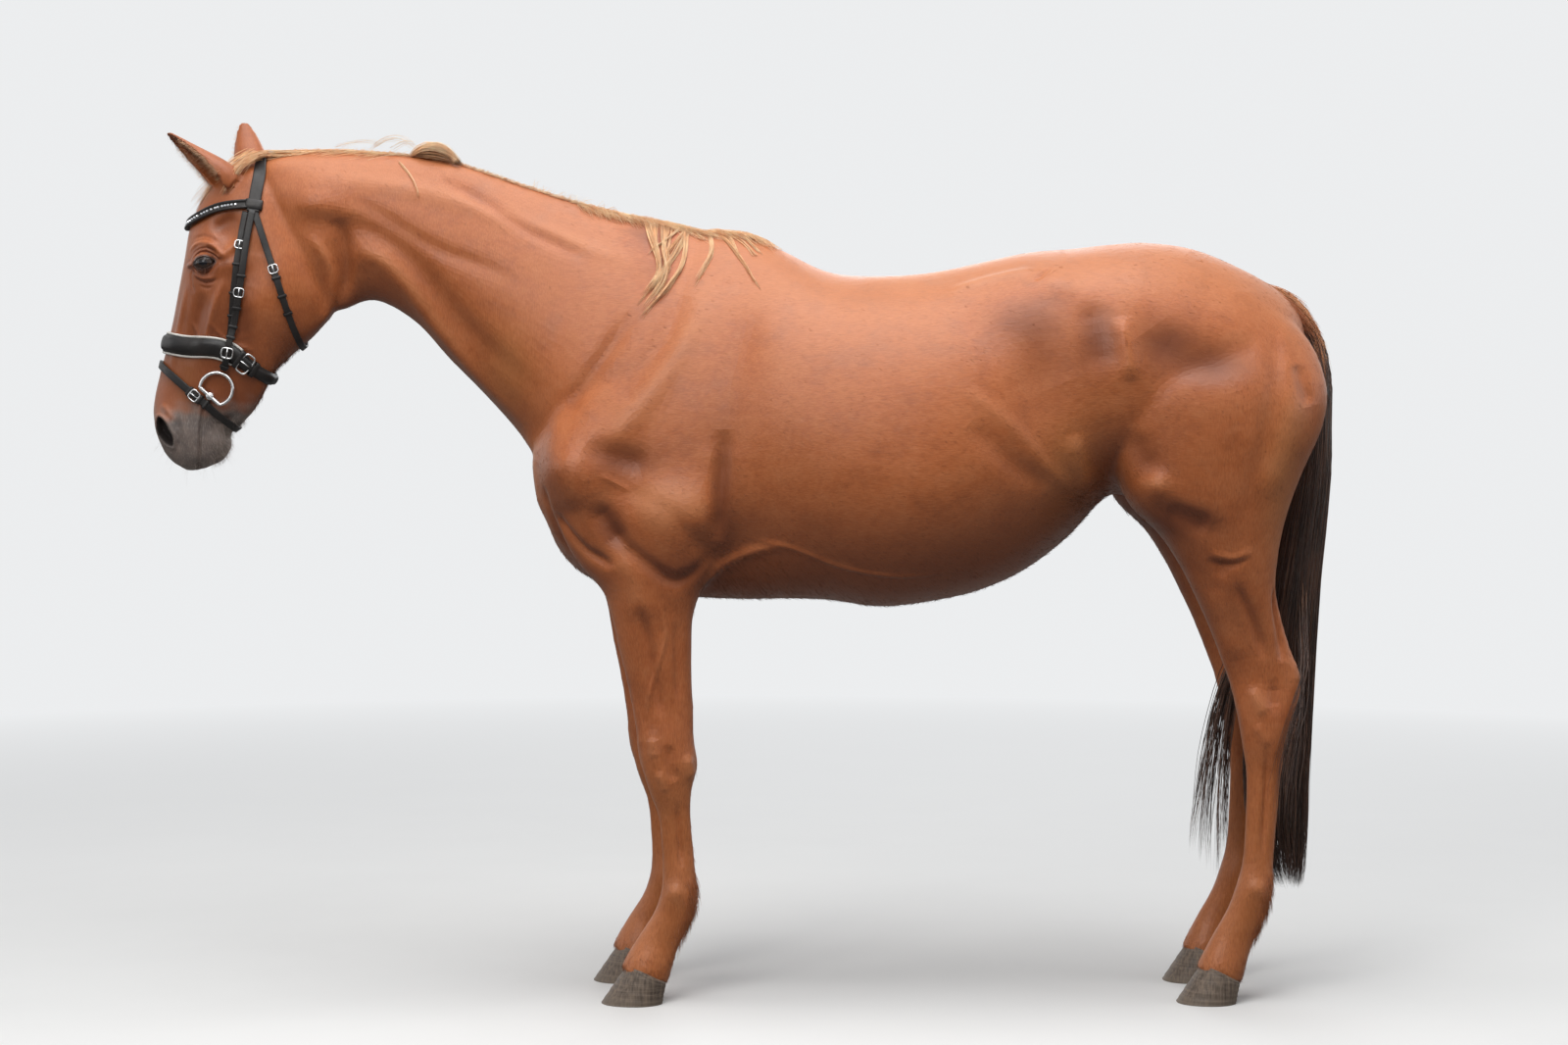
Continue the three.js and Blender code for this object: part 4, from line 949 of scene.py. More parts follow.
def hairMesh(name, lines, radius, uv, marked, material, flat=1.0):
    # lines: strands x knots x 3, radius: strands x knots; each strand is a closed three-sided spike
    n, m, _ = lines.shape
    way = unit(np.gradient(lines, axis=1))
    side = unit(np.cross(way, unit(dice.normal(size=(n, 1, 3)))))
    up = np.cross(way, side)
    ring = []
    for k in range(3):
        a = 2 * math.pi * k / 3
        ring.append(lines + (side * math.cos(a) + up * (math.sin(a) * flat)) * radius[:, :, None])
    rings = np.stack(ring, 2)[:, :-1].reshape(n, -1, 3)
    verts = np.concatenate([rings, lines[:, -1:]], 1).reshape(-1, 3)
    tip = 3 * (m - 1)
    tris = [(0, 2, 1)]
    for k in range(3):
        j = (k + 1) % 3
        for i in range(m - 2):
            a, b, c, d = i * 3 + k, i * 3 + j, (i + 1) * 3 + j, (i + 1) * 3 + k
            tris += [(a, b, c), (a, c, d)]
        tris.append((tip - 3 + k, tip - 3 + j, tip))
    faces = ((np.arange(n) * (tip + 1))[:, None, None] + np.array(tris)[None]).reshape(-1, 3)
    obj = meshObject(name, verts, faces)
    layer = obj.data.uv_layers.new(name="OFBake")
    knot = np.tile(np.append(np.repeat(np.arange(m - 1), 3), m - 1), n)
    corner = np.tile(np.append(np.tile(np.arange(3), m - 1), 0), n)
    root = np.repeat(np.clip(uv, .001, .996), tip + 1, axis=0)
    place = root + np.stack([corner / 3, knot / (m - 1)], 1) * patchSize
    layer.data.foreach_set("uv", place[faces.ravel()].astype(np.float32).ravel())
    setAttribute(obj, "pick", np.repeat(dice.random(n), tip + 1))
    setAttribute(obj, "along", knot / (m - 1))
    for key, values in marked.items():
        setAttribute(obj, key, np.repeat(values, tip + 1))
    obj.data.materials.append(material)
    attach(obj, "root")
    print(name, n, "strands,", len(faces), "triangles")
    return obj


def lieOf(p, n):
    # the way the coat lies, along the surface
    y, z = p[:, 1], p[:, 2]
    way = np.array([0, .10, -1.0])
    face = np.stack([0 * y, .12 + .5 * between(-1.12, -.95, y), 0 * y - 1], 1)
    for share, other in ((coatLevel(p), np.array([0, 1, -.45])),
                         (between(-.35, -.55, y) * between(1.0, 1.15, z), np.array([0, .62, -.78])),
                         (between(-.93, -1.03, y) * between(1.12, 1.14, z), face)):
        way = way * (1 - share[:, None]) + other * share[:, None]
    way = way + dice.normal(size=way.shape) * .07
    return unit(way - n * (way * n).sum(1)[:, None])


# each kind of tuft: how many, length, half width, how far they rise, knots, how far they sag, and how many stray
tuftLook = {
    "coat_body": (48000, .017, .0006, .11, 2, 0, 0), "coat_flanks": (48000, .012, .00055, .13, 2, 0, 0),
    "coat_face": (46000, .0075, .0004, .12, 2, 0, 0), "coat_fetlocks": (2600, .028, .0006, .35, 4, .15, 1e-9),
    "coat_coronets": (3600, .015, .0005, .22, 3, .1, 1e-9), "coat_dock": (1400, .042, .0006, .30, 4, .25, 1e-9),
    "coat_jaw": (2600, .016, .0004, .35, 4, .1, 1e-10), "coat_belly": (5500, .018, .0005, .22, 4, .1, 1e-10),
    "coat_folds": (4000, .019, .0005, .26, 4, .1, 1e-10), "chin_hair": (1000, .011, .00025, .2, 4, 0, 1e-10),
    "whiskers": (64, .022, .00018, .9, 4, .05, 1e-10),
    "fringe": (1900, .012, .00022, .22, 4, 0, 1e-10), "ear_hair": (420, .008, .00020, .3, 4, 0, 1e-10),
}
hairPaint = paintCoat("shortHairPaint", hair=True)


def tufts(name, weight, material=hairPaint, way=None, which=""):
    # short hair on the skin, more of it where the weight of a face is high
    count, length, width, rise, knots, sag, stray = tuftLook[name]
    face, w = skinMap.scatter(weight + stray, count)
    place, normal, uv, marked = skinMap.at(face, w)
    lie = lieOf(place, normal) if way is None else unit(way(place, normal))
    long, up = length * dice.uniform(.65, 1.2, count), rise * dice.uniform(.5, 1.5, count)
    t = np.linspace(0, 1, knots)[None, :, None]
    lines = (place - normal * .0012)[:, None] + lie[:, None] * long[:, None, None] * t
    lines = lines + normal[:, None] * (long * up)[:, None, None] * t * (1 - .25 * t)
    lines[:, :, 2] -= (sag * long)[:, None] * t[:, :, 0] ** 2
    radius = width * np.linspace(1, .12, knots)[None] * dice.uniform(.7, 1.2, (count, 1))
    hairMesh(name + which, lines, radius, uv, marked, material, .6)


mid, face = skinMap.middle, skinMap.facing
onHead = between(-.95, -1.0, mid[:, 1]) * between(1.1, 1.14, mid[:, 2])
onLegs = between(.66, .56, mid[:, 2])
clear = between(.3, .1, skinMap.marks["dark"][skinMap.corners[:, 0]])  # none in eyes and nostrils
body = (1 - onHead) * (1 - .3 * onLegs) * clear
tufts("coat_body", body)
tufts("coat_flanks", body)
tufts("coat_face", (onHead * .9 + onLegs * .35) * clear)
back = between(.2, .7, face[:, 1])
tufts("coat_fetlocks", between(.30, .26, mid[:, 2]) * between(.12, .17, mid[:, 2]) * back * clear)
tufts("coat_coronets", between(.125, .105, mid[:, 2]) * between(.03, .05, mid[:, 2]))


# mane, forelock and tail: long strands

def paintLongHair(name, dark, middle, light, root, rough):
    p = Paint(name)
    pick, along = p.attribute("pick"), p.attribute("along")
    clump = p.grain((38, 38, 9), 2.0)
    fine = p.grain((700, 700, 60), 2.0)
    colour = p.mix(p.span(clump, .36, .64), dark, middle)
    colour = p.tint(colour, pick, .62, 1, .75, light)
    colour = p.tint(colour, pick, .3, 0, .6, dark)
    colour = p.tint(colour, fine, .5, .8, .4, light)
    colour = p.tint(colour, along, .16, 0, .7, root)
    return p.finish(Base_Color=colour, Roughness=p.span(fine, .3, .7, (rough - .06, rough + .06)),
                    Specular_IOR_Level=.5, Sheen_Weight=.15, Sheen_Roughness=.4)


# darkest, middle, lightest and root colour, and roughness
hairColours = {
    "mane": ((.86, .44, .20), (1.0, .66, .36), (1.0, .86, .60), (.68, .30, .11), .45),
    "shade": ((.30, .13, .055), (.52, .26, .12), (.78, .46, .24), (.20, .08, .034), .5),
    # fluff: pale flaxen, made lighter still as painted backlight
    "fluff": ((.90, .52, .27), (1.0, .74, .46), (1.0, .90, .68), (.76, .38, .17), .45),
    "tail": ((.030, .015, .010), (.110, .052, .033), (.300, .150, .092), (.46, .21, .095), .38),
    "dock": ((.50, .17, .060), (.76, .33, .14), (1.0, .64, .36), (.52, .18, .065), .45),
    "fringe": ((.84, .42, .20), (1.0, .64, .38), (1.0, .82, .60), (.72, .32, .14), .5),
    "chin": ((.36, .29, .24), (.58, .49, .42), (.84, .76, .68), (.26, .20, .17), .55),
    "lash": ((.02, .012, .01), (.035, .02, .015), (.07, .04, .03), (.02, .012, .01), .5),
}
manePaint = paintLongHair("manePaint", *hairColours["mane"])
tailPaint = paintLongHair("tailPaint", *hairColours["tail"])


def longHair(name, lines, radius, paint, replaced=(), flat=1.0):
    # strands that get thinner towards their ends
    thick = radius[:, None] * (1 - .75 * np.linspace(0, 1, lines.shape[1]) ** 1.5)[None]
    thick[:, 0] *= .6
    uv = skinMap.nearest(lines[:, 0])[2]
    obj = hairMesh(name, lines, np.maximum(thick, .00012), uv, {}, paint, flat)
    if replaced:
        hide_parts(*replaced)


def varied(radius, lines, least=.7):
    # a half width for each strand
    return radius * dice.uniform(least, 1.2, len(lines))


def onSkin(spots, depth):
    # pushes points that lie under the skin out to a depth above it
    flat = spots.reshape(-1, 3).copy()
    depth = np.broadcast_to(depth, spots.shape[:2]).ravel()
    for i, s in enumerate(flat):
        place, normal = skinMap.tree.find_nearest(Vector(s), .12)[:2]
        if place is not None:
            above = (Vector(s) - place).dot(normal)
            if above < depth[i]:
                flat[i] = np.array(place) + np.array(normal) * depth[i]
    return flat.reshape(spots.shape)


maneLook = {
    # along the crest: y and how far the hair falls, in mm
    "falls": [(-1040, 70), (-980, 130), (-930, 160), (-880, 140), (-820, 190), (-760, 170), (-700, 210), (-640, 190),
              (-580, 220), (-520, 190), (-460, 220), (-400, 190), (-340, 210), (-280, 170), (-220, 180), (-160, 130),
              (-120, 100), (-80, 60)],
    "angles": (8, -2, -14, -30, -52), "shares": (.30, .55, .78, 1.0), "guides": 72, "strands": 3600,
    "radius": .00062, "depth": .0095,
}
crestLine = np.array([(y, skinMap.tree.ray_cast(Vector((0, y, 3)), Vector((0, 0, -1)))[0][2])
                      for y in np.linspace(-1.06, .14, 61)])


def crestTop(y):
    return np.interp(y, crestLine[:, 0], crestLine[:, 1])


def maneGuides():
    rows = spline(np.array(maneLook["falls"], float), np.linspace(0, 1, maneLook["guides"])) / 1000
    guides, faces = [], []
    for y, fall in rows:
        hits, crest = [], crestTop(y)
        for a in maneLook["angles"]:
            way = np.array([math.sin(math.radians(a)), 0, math.cos(math.radians(a))])
            hits.append(skinMap.tree.ray_cast(Vector(np.array([0, y, crest - .04]) + way * .4), Vector(-way))[:2])
        for share in maneLook["shares"]:
            start = (-.6, y + .25 * fall * share, crest - fall * share)
            hits.append(skinMap.tree.ray_cast(Vector(start), Vector((1, 0, 0)))[:2])
        guides.append([h[0][:] for h in hits])
        faces.append([h[1][:] for h in hits])
    return np.array(guides), np.array(faces)


def sample(table, at):
    # rows of a table between its entries, for many places at once
    at = np.clip(at, 0, len(table) - 1.001)
    i = at.astype(int)
    f = (at - i).reshape(-1, *([1] * (table.ndim - 1)))
    return table[i] * (1 - f) + table[i + 1] * f


def waves(n, m, size, turns):
    # soft sideways waviness, none at the root
    t = np.linspace(0, 1, m)[None, :, None]
    phase = dice.uniform(0, 6.3, (n, 1, 3))
    return np.sin(phase + t * 6.3 * dice.uniform(turns * .5, turns, (n, 1, 1))) * size * t


guides, guideOut = maneGuides()
n, m = maneLook["strands"], 10
at = dice.uniform(0, maneLook["guides"] - 1, n)
lines, outs = sample(guides, at), unit(sample(guideOut, at))
first = dice.choice([0, 1, 2, 3], n, p=[.16, .34, .3, .2])
last = 8 - dice.choice([0, 1, 2], n, p=[.6, .27, .13]) * 1.0 - dice.random(n) * .6
grid = np.linspace(0, 1, m)
where = first[:, None] + (last - first)[:, None] * grid[None]
i = np.minimum(where.astype(int), 7)
f = (where - i)[:, :, None]
rows = np.arange(n)[:, None]
lines = lines[rows, i] * (1 - f) + lines[rows, i + 1] * f
outs = unit(outs[rows, i] * (1 - f) + outs[rows, i + 1] * f)
depth = dice.uniform(.1, 1, (n, 1)) * maneLook["depth"] * (np.sin(np.pi * np.clip(grid * .9 + .08, 0, 1)) ** .6)[None]
lines = lines + outs * (.001 + depth)[:, :, None]
clump = np.sin(at * 2.1)[:, None] * .012 * grid[None] ** 1.5
lines[:, :, 1] += clump + dice.normal(size=(n, 1)) * .009 * grid[None]
lines = onSkin(lines + waves(n, m, .004, 1.6), .001)
longHair("mane_strands", lines, maneLook["radius"] * dice.uniform(.7, 1.25, n), manePaint, ["mane"], .7)


def hug(spots, height):
    # lays points at a height over the skin
    flat = spots.reshape(-1, 3).copy()
    height = np.broadcast_to(height, spots.shape[:2]).ravel()
    for i, s in enumerate(flat):
        place, normal = skinMap.tree.find_nearest(Vector(s))[:2]
        flat[i] = np.array(place) + np.array(normal) * height[i]
    return flat.reshape(spots.shape)


def locksOnFlank(paths, knots):
    # each path: [side-view points in mm], strings, spread, height over the skin at its middle; on the left side
    found, thick = [], []
    t = np.linspace(0, 1, knots)
    for path, count, spread, height in paths:
        line = spline(castPath(skinMap.tree, "side", path, 1, 9)[0], t)
        for _ in range(count):
            root, tip = dice.normal(size=(2, 3)) * np.array([.2, 1, .3]) * spread
            string = line + root * (1 - t[:, None]) + tip * .8 * t[:, None] + waves(1, knots, .0035, 1.2)[0]
            string[:, 0] += (height * np.sin(np.pi * t) ** .7 * dice.uniform(.15, 1) + .001)
            share = dice.uniform(.7, 1)
            for _ in range(6):
                own = string + dice.normal(size=3) * .0010 + dice.normal(size=3) * .0016 * t[:, None] ** 2
                found.append(spline(own, t * share * dice.uniform(.9, 1)))
                thick.append(dice.uniform(.7, 1.2))
    return onSkin(np.array(found), .0012), np.array(thick)


flankLocks = [
    ([(-203, 1683), (-195, 1652), (-182, 1620), (-175, 1593), (-179, 1567), (-195, 1542), (-210, 1518), (-235, 1479)],
     8, .0055, .010),
    ([(-161, 1680), (-166, 1645), (-169, 1620), (-161, 1590), (-164, 1560), (-178, 1535), (-200, 1502), (-222, 1466)],
     7, .0050, .012),
    ([(-184, 1682), (-180, 1640), (-170, 1600), (-172, 1560), (-190, 1528), (-214, 1490)], 6, .0070, .012),
    ([(-153, 1680), (-158, 1641), (-160, 1614), (-153, 1590), (-156, 1562)], 4, .0035, .008),
    ([(-117, 1680), (-120, 1650), (-121, 1610), (-131, 1578), (-150, 1550), (-172, 1520), (-199, 1491), (-218, 1464)],
     9, .0040, .012),
    ([(-121, 1662), (-140, 1622), (-158, 1593), (-178, 1557), (-196, 1529), (-213, 1500)], 6, .0055, .010),
    ([(-138, 1672), (-160, 1648), (-188, 1624), (-206, 1606)], 3, .0040, .006),
    ([(-126, 1664), (-152, 1630), (-170, 1590)], 3, .0040, .006),
    ([(-111, 1676), (-96, 1658), (-78, 1640)], 3, .0025, .005),
    ([(-86, 1680), (-72, 1662), (-64, 1637), (-66, 1612), (-76, 1590), (-92, 1560), (-110, 1532)],
     6, .0022, .008),
    ([(-74, 1678), (-52, 1658), (-30, 1641), (-12, 1618), (4, 1596), (18, 1574), (31, 1550), (47, 1524)],
     7, .0024, .007),
    ([(-44, 1672), (-24, 1650), (-10, 1622), (2, 1600)], 4, .0030, .006),
    ([(-20, 1666), (8, 1648), (30, 1627), (51, 1606)], 4, .0022, .005),
    ([(-60, 1675), (-14, 1650), (20, 1622), (40, 1600)], 3, .0030, .004),
]
lines, thick = locksOnFlank(flankLocks, 11)
longHair("mane_locks", lines, .00066 * thick, manePaint, ["mane_lock_1", "mane_lock_2", "mane_lock_3"])


def freeStrands(paths, knots, wave):
    # each path: [points in mm], strands, spread across at root and tip; hangs free
    found = []
    for path, count, spread in paths:
        line = spline(np.array(path, float) / 1000, np.linspace(0, 1, knots))
        t = np.linspace(0, 1, knots)[:, None]
        for _ in range(count):
            off = dice.normal(size=3) * (spread[0] + (spread[1] - spread[0]) * t)
            share = dice.uniform(.78, 1)
            found.append(spline(line + off + waves(1, knots, wave, 1.5)[0], t[:, 0] * share))
    return np.array(found)


def rolledTuft(n, low, high, knots=9):
    # a lock bent over the crest: strands lie between the skin and the roll's top line
    top = np.array([(-714, 1826), (-700, 1845), (-674, 1857), (-648, 1851), (-630, 1835), (-610, 1808)], float) / 1000
    line = spline(top, np.linspace(0, 1, knots))
    t = np.linspace(0, 1, knots)
    share = dice.uniform(low, high, (n, 1))
    y = line[None, :, 0] + dice.normal(size=(n, 1)) * .004 + (1 - share) * .012 * (.5 - t)
    base = crestTop(y) - .002
    z = base + np.maximum(line[None, :, 1] - base, -.004) * share
    x = .006 + dice.normal(size=(n, 1)) * .006 * np.sin(np.pi * np.clip(t + .12, 0, 1)) + .010 * t
    return onSkin(np.stack([x + 0 * y, y, z], 2) + waves(n, knots, .0015, 1.2), .0008)


shadePaint = paintLongHair("shadePaint", *hairColours["shade"])
fluffLitPaint = paintLongHair("fluffLitPaint", *hairColours["fluff"])
# the roll's upper strands: pale flaxen, partly painted light
lines = rolledTuft(240, .50, 1.0)
longHair("mane_tuft", lines, varied(.0007, lines, .6), fluffLitPaint)
# the roll's under strands, in a darker paint as the roll's painted shade
lines = rolledTuft(120, .05, .55)
longHair("mane_tuft_under", lines, varied(.0008, lines, .6), shadePaint)
loose = [([(-4, -800, 1846), (2, -772, 1862), (4, -740, 1864), (6, -712, 1846), (8, -698, 1826)], 12, (.004, .003)),
         ([(2, -760, 1844), (4, -738, 1856), (6, -716, 1858), (8, -700, 1840)], 8, (.003, .003)),
         ([(0, -880, 1846), (4, -840, 1856), (6, -800, 1856), (8, -770, 1846)], 8, (.004, .003))]
lines = onSkin(freeStrands(loose, 8, .003), .001)
longHair("mane_loose", lines, varied(.00032, lines), fluffLitPaint)


def crestHair(n, span, size, over, rise, knots=5):
    # short hair that stands off the crest and falls over at its end
    y = dice.uniform(*span, n)
    long = dice.uniform(*size, n)[:, None, None]
    way = np.stack([over + dice.normal(0, .4, n), dice.normal(.7, .4, n), rise * dice.uniform(.3, 1.3, n)], 1)
    way = unit(way)[:, None]
    t = np.linspace(0, 1, knots)[None, :, None]
    lines = np.stack([dice.normal(0, .005, n), y, crestTop(y) - .002], 1)[:, None] + way * long * t
    lines[:, :, 2] -= (long * .45 * t ** 2)[:, :, 0]
    return onSkin(lines + waves(n, knots, .0015, 1.2), .0008)


def lyingHair(n, span, size, over, back, high, knots=7):
    # hair that lies on the crest and runs along it
    y = dice.uniform(*span, n)
    long = dice.uniform(*size, n)[:, None, None]
    way = unit(np.stack([dice.normal(over, .22, n), dice.normal(back, .2, n), 0 * y], 1))[:, None]
    t = np.linspace(0, 1, knots)[None, :, None]
    lines = np.stack([dice.normal(0, .006, n), y, crestTop(y)], 1)[:, None] + way * long * t
    above = high * dice.uniform(.1, 1, (n, 1)) * np.sin(np.pi * np.clip(t[:, :, 0] * .9 + .06, 0, 1)) + .0006
    return hug(lines + waves(n, knots, .004, 1.2), above)


lines = crestHair(3000, (-1.03, -.30), (.009, .022), .1, .9)
longHair("crest_fluff", lines, varied(.00042, lines), fluffLitPaint)
lines = np.concatenate([crestHair(420, (-.32, .07), (.006, .016), .2, .6),
                        crestHair(60, (-.46, -.27), (.025, .048), .2, 1.2),
                        crestHair(160, (-1.02, -.74), (.015, .034), .2, .7)])
longHair("crest_flyaway", lines, varied(.00036, lines), fluffLitPaint)
lines = np.concatenate([lyingHair(480, (-.36, -.20), (.035, .07), .75, .6, .009),
                        lyingHair(900, (-.21, .03), (.04, .09), .38, .9, .007),
                        lyingHair(300, (-.99, -.74), (.05, .09), .1, -.9, .006)])
longHair("crest_hair", lines, varied(.0005, lines, .6), manePaint)
lines, thick = locksOnFlank([([(-745, 1812), (-712, 1776), (-694, 1738), (-704, 1690)], 1, .002, .006)], 9)
longHair("mane_wisps", lines, .0007 * thick, manePaint)

forelockPaths = [
    ([(-2, -1062, 1824), (0, -1092, 1806), (2, -1128, 1774), (4, -1160, 1738), (6, -1182, 1706)], 90, (.009, .010)),
    ([(-8, -1060, 1822), (-12, -1098, 1802), (-16, -1136, 1766), (-14, -1168, 1724)], 60, (.007, .009)),
    ([(10, -1020, 1826), (30, -1056, 1824), (52, -1084, 1800), (62, -1104, 1764), (66, -1118, 1738)], 46, (.004, .003)),
    ([(10, -970, 1828), (28, -1030, 1828), (50, -1066, 1812), (66, -1086, 1778)], 46, (.005, .003)),
    ([(4, -930, 1829), (20, -985, 1830), (36, -1040, 1827), (48, -1080, 1808)], 40, (.006, .004)),
]
lines = onSkin(freeStrands(forelockPaths, 10, .004), .0016)
longHair("forelock_strands", lines, varied(.0009, lines), manePaint, ["forelock"])

tailLook = {
    # front y, z, back y, z, half width, in mm
    "form": [(1120, 1530, 1172, 1540, 20), (1150, 1490, 1228, 1496, 32), (1180, 1440, 1262, 1444, 36),
             (1212, 1350, 1285, 1354, 42), (1206, 1240, 1286, 1240, 50), (1186, 1130, 1285, 1130, 58),
             (1160, 1000, 1274, 1000, 62), (1134, 850, 1260, 850, 64), (1112, 680, 1252, 680, 60),
             (1100, 520, 1244, 520, 52), (1108, 380, 1240, 370, 40), (1150, 270, 1234, 260, 26),
             (1176, 226, 1226, 226, 16)],
}


def tailStrands(n, m, reach, radius, rootSpan, ends):
    # strands inside the tail's form: reach is how far out they lie, from its middle to its outside
    table = np.array(tailLook["form"], float) / 1000
    turn = dice.uniform(0, 2 * math.pi, n)
    out = reach[0] + (reach[1] - reach[0]) * dice.random(n) ** .5
    begin = rootSpan[0] + (rootSpan[1] - rootSpan[0]) * dice.random(n) ** 1.3
    stop = dice.uniform(*ends, n)
    t = np.linspace(0, 1, m)
    share = begin[:, None] + (stop - begin)[:, None] * t[None]
    rows = spline(table, share.ravel()).reshape(n, m, 5)
    fy, fz, by, bz, half = [rows[:, :, k] for k in range(5)]
    grown = out[:, None] * (.35 + .65 * between(0, .16, t))[None]
    drift = turn[:, None] + dice.normal(size=(n, 1)) * .35 * t[None]
    w = .5 + .5 * grown * np.cos(drift)
    x = half * grown * np.sin(drift)
    lock = np.sin(turn * 5)[:, None] * .006 * t[None] ** 2
    lines = np.stack([x + lock, fy + (by - fy) * w, fz + (bz - fz) * w], 2) + waves(n, m, .004, 1.5)
    return lines, radius * dice.uniform(.7, 1.3, n)


lines, thick = tailStrands(800, 11, (.2, .8), .0026, (.05, .3), (.72, .97))
longHair("tail_core", lines, thick, tailPaint, ["tail_top", "tail_middle"], .6)
lines, thick = tailStrands(2500, 12, (.72, 1.0), .00095, (.02, .33), (.74, 1.0))
longHair("tail_hair", lines, thick, tailPaint, ["tail_end"], .8)
betweenLegs = []
for x, foot, high, middle, low, end in ((4, 300, 1060, 1023, 1000, 983), (10, 275, 1066, 1035, 1015, 1000),
                                        (0, 262, 1072, 1045, 1028, 1020), (14, 250, 1080, 1056, 1046, 1042),
                                        (6, 300, 1088, 1066, 1060, 1060)):
    path = [(x, 1124, 800), (x + 3, high, 700), (x + 5, middle, 571), (x + 2, low, 430), (x + 4, end, foot)]
    betweenLegs.append((path, 34, (.006, .0022)))
overHock = [
    ([(50, 1215, 900), (88, 1212, 800), (138, 1206, 730), (160, 1176, 640), (166, 1150, 540), (160, 1140, 430)],
     10, (.008, .010)),
    ([(48, 1210, 820), (70, 1214, 740), (112, 1204, 660), (150, 1180, 590), (158, 1158, 470), (150, 1150, 340)],
     16, (.008, .012)),
    ([(40, 1200, 760), (60, 1206, 660), (96, 1196, 560), (122, 1180, 460), (128, 1172, 330)], 26, (.010, .014)),
]
lines = freeStrands(betweenLegs, 12, .006)
longHair("tail_locks", lines, varied(.0009, lines, .6), tailPaint, ["tail_lock"])
lines = onSkin(freeStrands(overHock, 12, .005), .002)
longHair("tail_wisps", lines, varied(.0009, lines), tailPaint)
dock = np.array([(0, 1150, 1552), (0, 1190, 1538), (0, 1226, 1507), (0, 1252, 1465), (0, 1268, 1420), (0, 1276, 1370),
                 (0, 1279, 1310)]) / 1000
n, t = 1700, np.linspace(0, 1, 8)
start = dice.uniform(0, .55, n)
at = start[:, None] + dice.uniform(.22, .42, n)[:, None] * t[None]
lines = spline(dock, at.ravel()).reshape(n, 8, 3)
spread = dice.normal(size=(n, 1, 3)) * np.array([.013, .002, .002]) * (1 + .5 * t[None, :, None])
lift = np.minimum(dice.exponential(.0045, (n, 1)), .016) * t[None] ** 1.5
lift = lift - .009 - dice.uniform(0, .024, (n, 1)) * between(0, .12, at)  # fills the space down to the skin
lines = lines + spread + waves(n, 8, .002, 1.2) + np.stack([0 * lift, lift * .8, lift * .6], 2)
lines[:, :, 0] *= (.45 + .75 * at)
dockPaint = paintLongHair("dockPaint", *hairColours["dock"])
longHair("dock_hair", onSkin(lines, .001), varied(.0006, lines), dockPaint)
atDock = np.exp(-((mid[:, 1] - 1.175) / .05) ** 2 - ((mid[:, 2] - 1.50) / .07) ** 2 - (mid[:, 0] / .035) ** 2)
tufts("coat_dock", atDock, way=lambda p, n: p * [4, 0, 0] + [0, .55, -.8] + dice.normal(size=p.shape) * .12)


# more hair: ears, chin, lashes, under the jaw and between the legs

def earWay(which):
    base, tip, facing = [np.array(v) for v in ears[which]]
    axis = unit(tip - base)
    across = unit(np.cross(axis, facing))
    opening = unit(np.cross(across, axis))

    def way(p, n):
        out = ((p - base) @ across)[:, None]
        return axis * .35 + opening * .85 + across * np.sign(out) * .25 + n * .35 + dice.normal(size=p.shape) * .14
    return way, axis, opening, across, base


def downBack(p, n):
    return p * [2, 0, 0] + [0, .25, -1] + n * .55 + dice.normal(size=p.shape) * .16


fringePaint = paintLongHair("fringePaint", *hairColours["fringe"])
for which in ("left", "right"):
    way, axis, opening, across, base = earWay(which)
    off = mid - base
    up, beside = off @ axis, np.abs(off @ across)
    inEar = between(.030, .045, up) * between(.165, .135, up) * (beside < .045) * (np.abs(off @ opening) < .05)
    rim = between(-.1, .7, face @ opening) * between(.006, .020, beside)
    tufts("fringe", inEar * rim, fringePaint, way, "_" + which)
    inside = between(.35, .8, face @ opening) * between(.024, .006, beside)
    tufts("ear_hair", inEar * inside, fringePaint, way, "_" + which)
chinPaint = paintLongHair("chinPaint", *hairColours["chin"])
atChin = between(-1.165, -1.135, mid[:, 1]) * between(1.265, 1.245, mid[:, 2]) * between(-1.0, -1.05, mid[:, 1])
tufts("chin_hair", atChin * clear, chinPaint, downBack)
tufts("whiskers", onHead * between(1.25, 1.22, mid[:, 2]) * clear, chinPaint, downBack)
tufts("coat_jaw", between(-.25, -.7, face[:, 2]) * onHead * between(1.27, 1.30, mid[:, 2]))
tufts("coat_belly", between(-.3, -.8, face[:, 2]) * between(.8, .86, mid[:, 2]) * between(-.5, -.4, mid[:, 1]))
elbows, flanks = [spotAt(mid[:, 1], mid[:, 2], *spot) for spot in ((-.02, .95, .10, .06), (.735, 1.10, .06, .06))]
calves = between(.1, .7, face[:, 1]) * between(.52, .44, mid[:, 2]) * between(.25, .30, mid[:, 2])
tufts("coat_folds", elbows + flanks + .25 * calves)


def lashLines(side):
    found = []
    a = math.radians(headLook["eyeTurn"])
    for k in range(58):
        s = min(max(-1 + 2 * k / 57 + dice.normal() * .02, -1), 1)
        p, q = s * headLook["halfLong"], headLook["halfHigh"] * (1 - s * s) ** .5 * .92
        y, z = ey + p * math.cos(a) - q * math.sin(a), ez + p * math.sin(a) + q * math.cos(a)
        x = ex + math.sqrt(max(headLook["ball"] ** 2 - (y - ey) ** 2 - (z - ez) ** 2, 0)) + .0012
        long = (.010 + .006 * (1 - s * s)) * dice.uniform(.7, 1.1)
        t = np.linspace(0, 1, 5)
        found.append(np.stack([side * (x + long * (.85 * t + .1 * t ** 2)), y + long * (.3 * s) * t,
                               z - long * (.62 * t - .28 * t ** 2)], 1))
    return np.array(found)


lashPaint = paintLongHair("lashPaint", *hairColours["lash"])
lines = np.concatenate([lashLines(1), lashLines(-1)])
longHair("lashes", lines, np.full(len(lines), .00026), lashPaint)
print("hair done")


# eyes

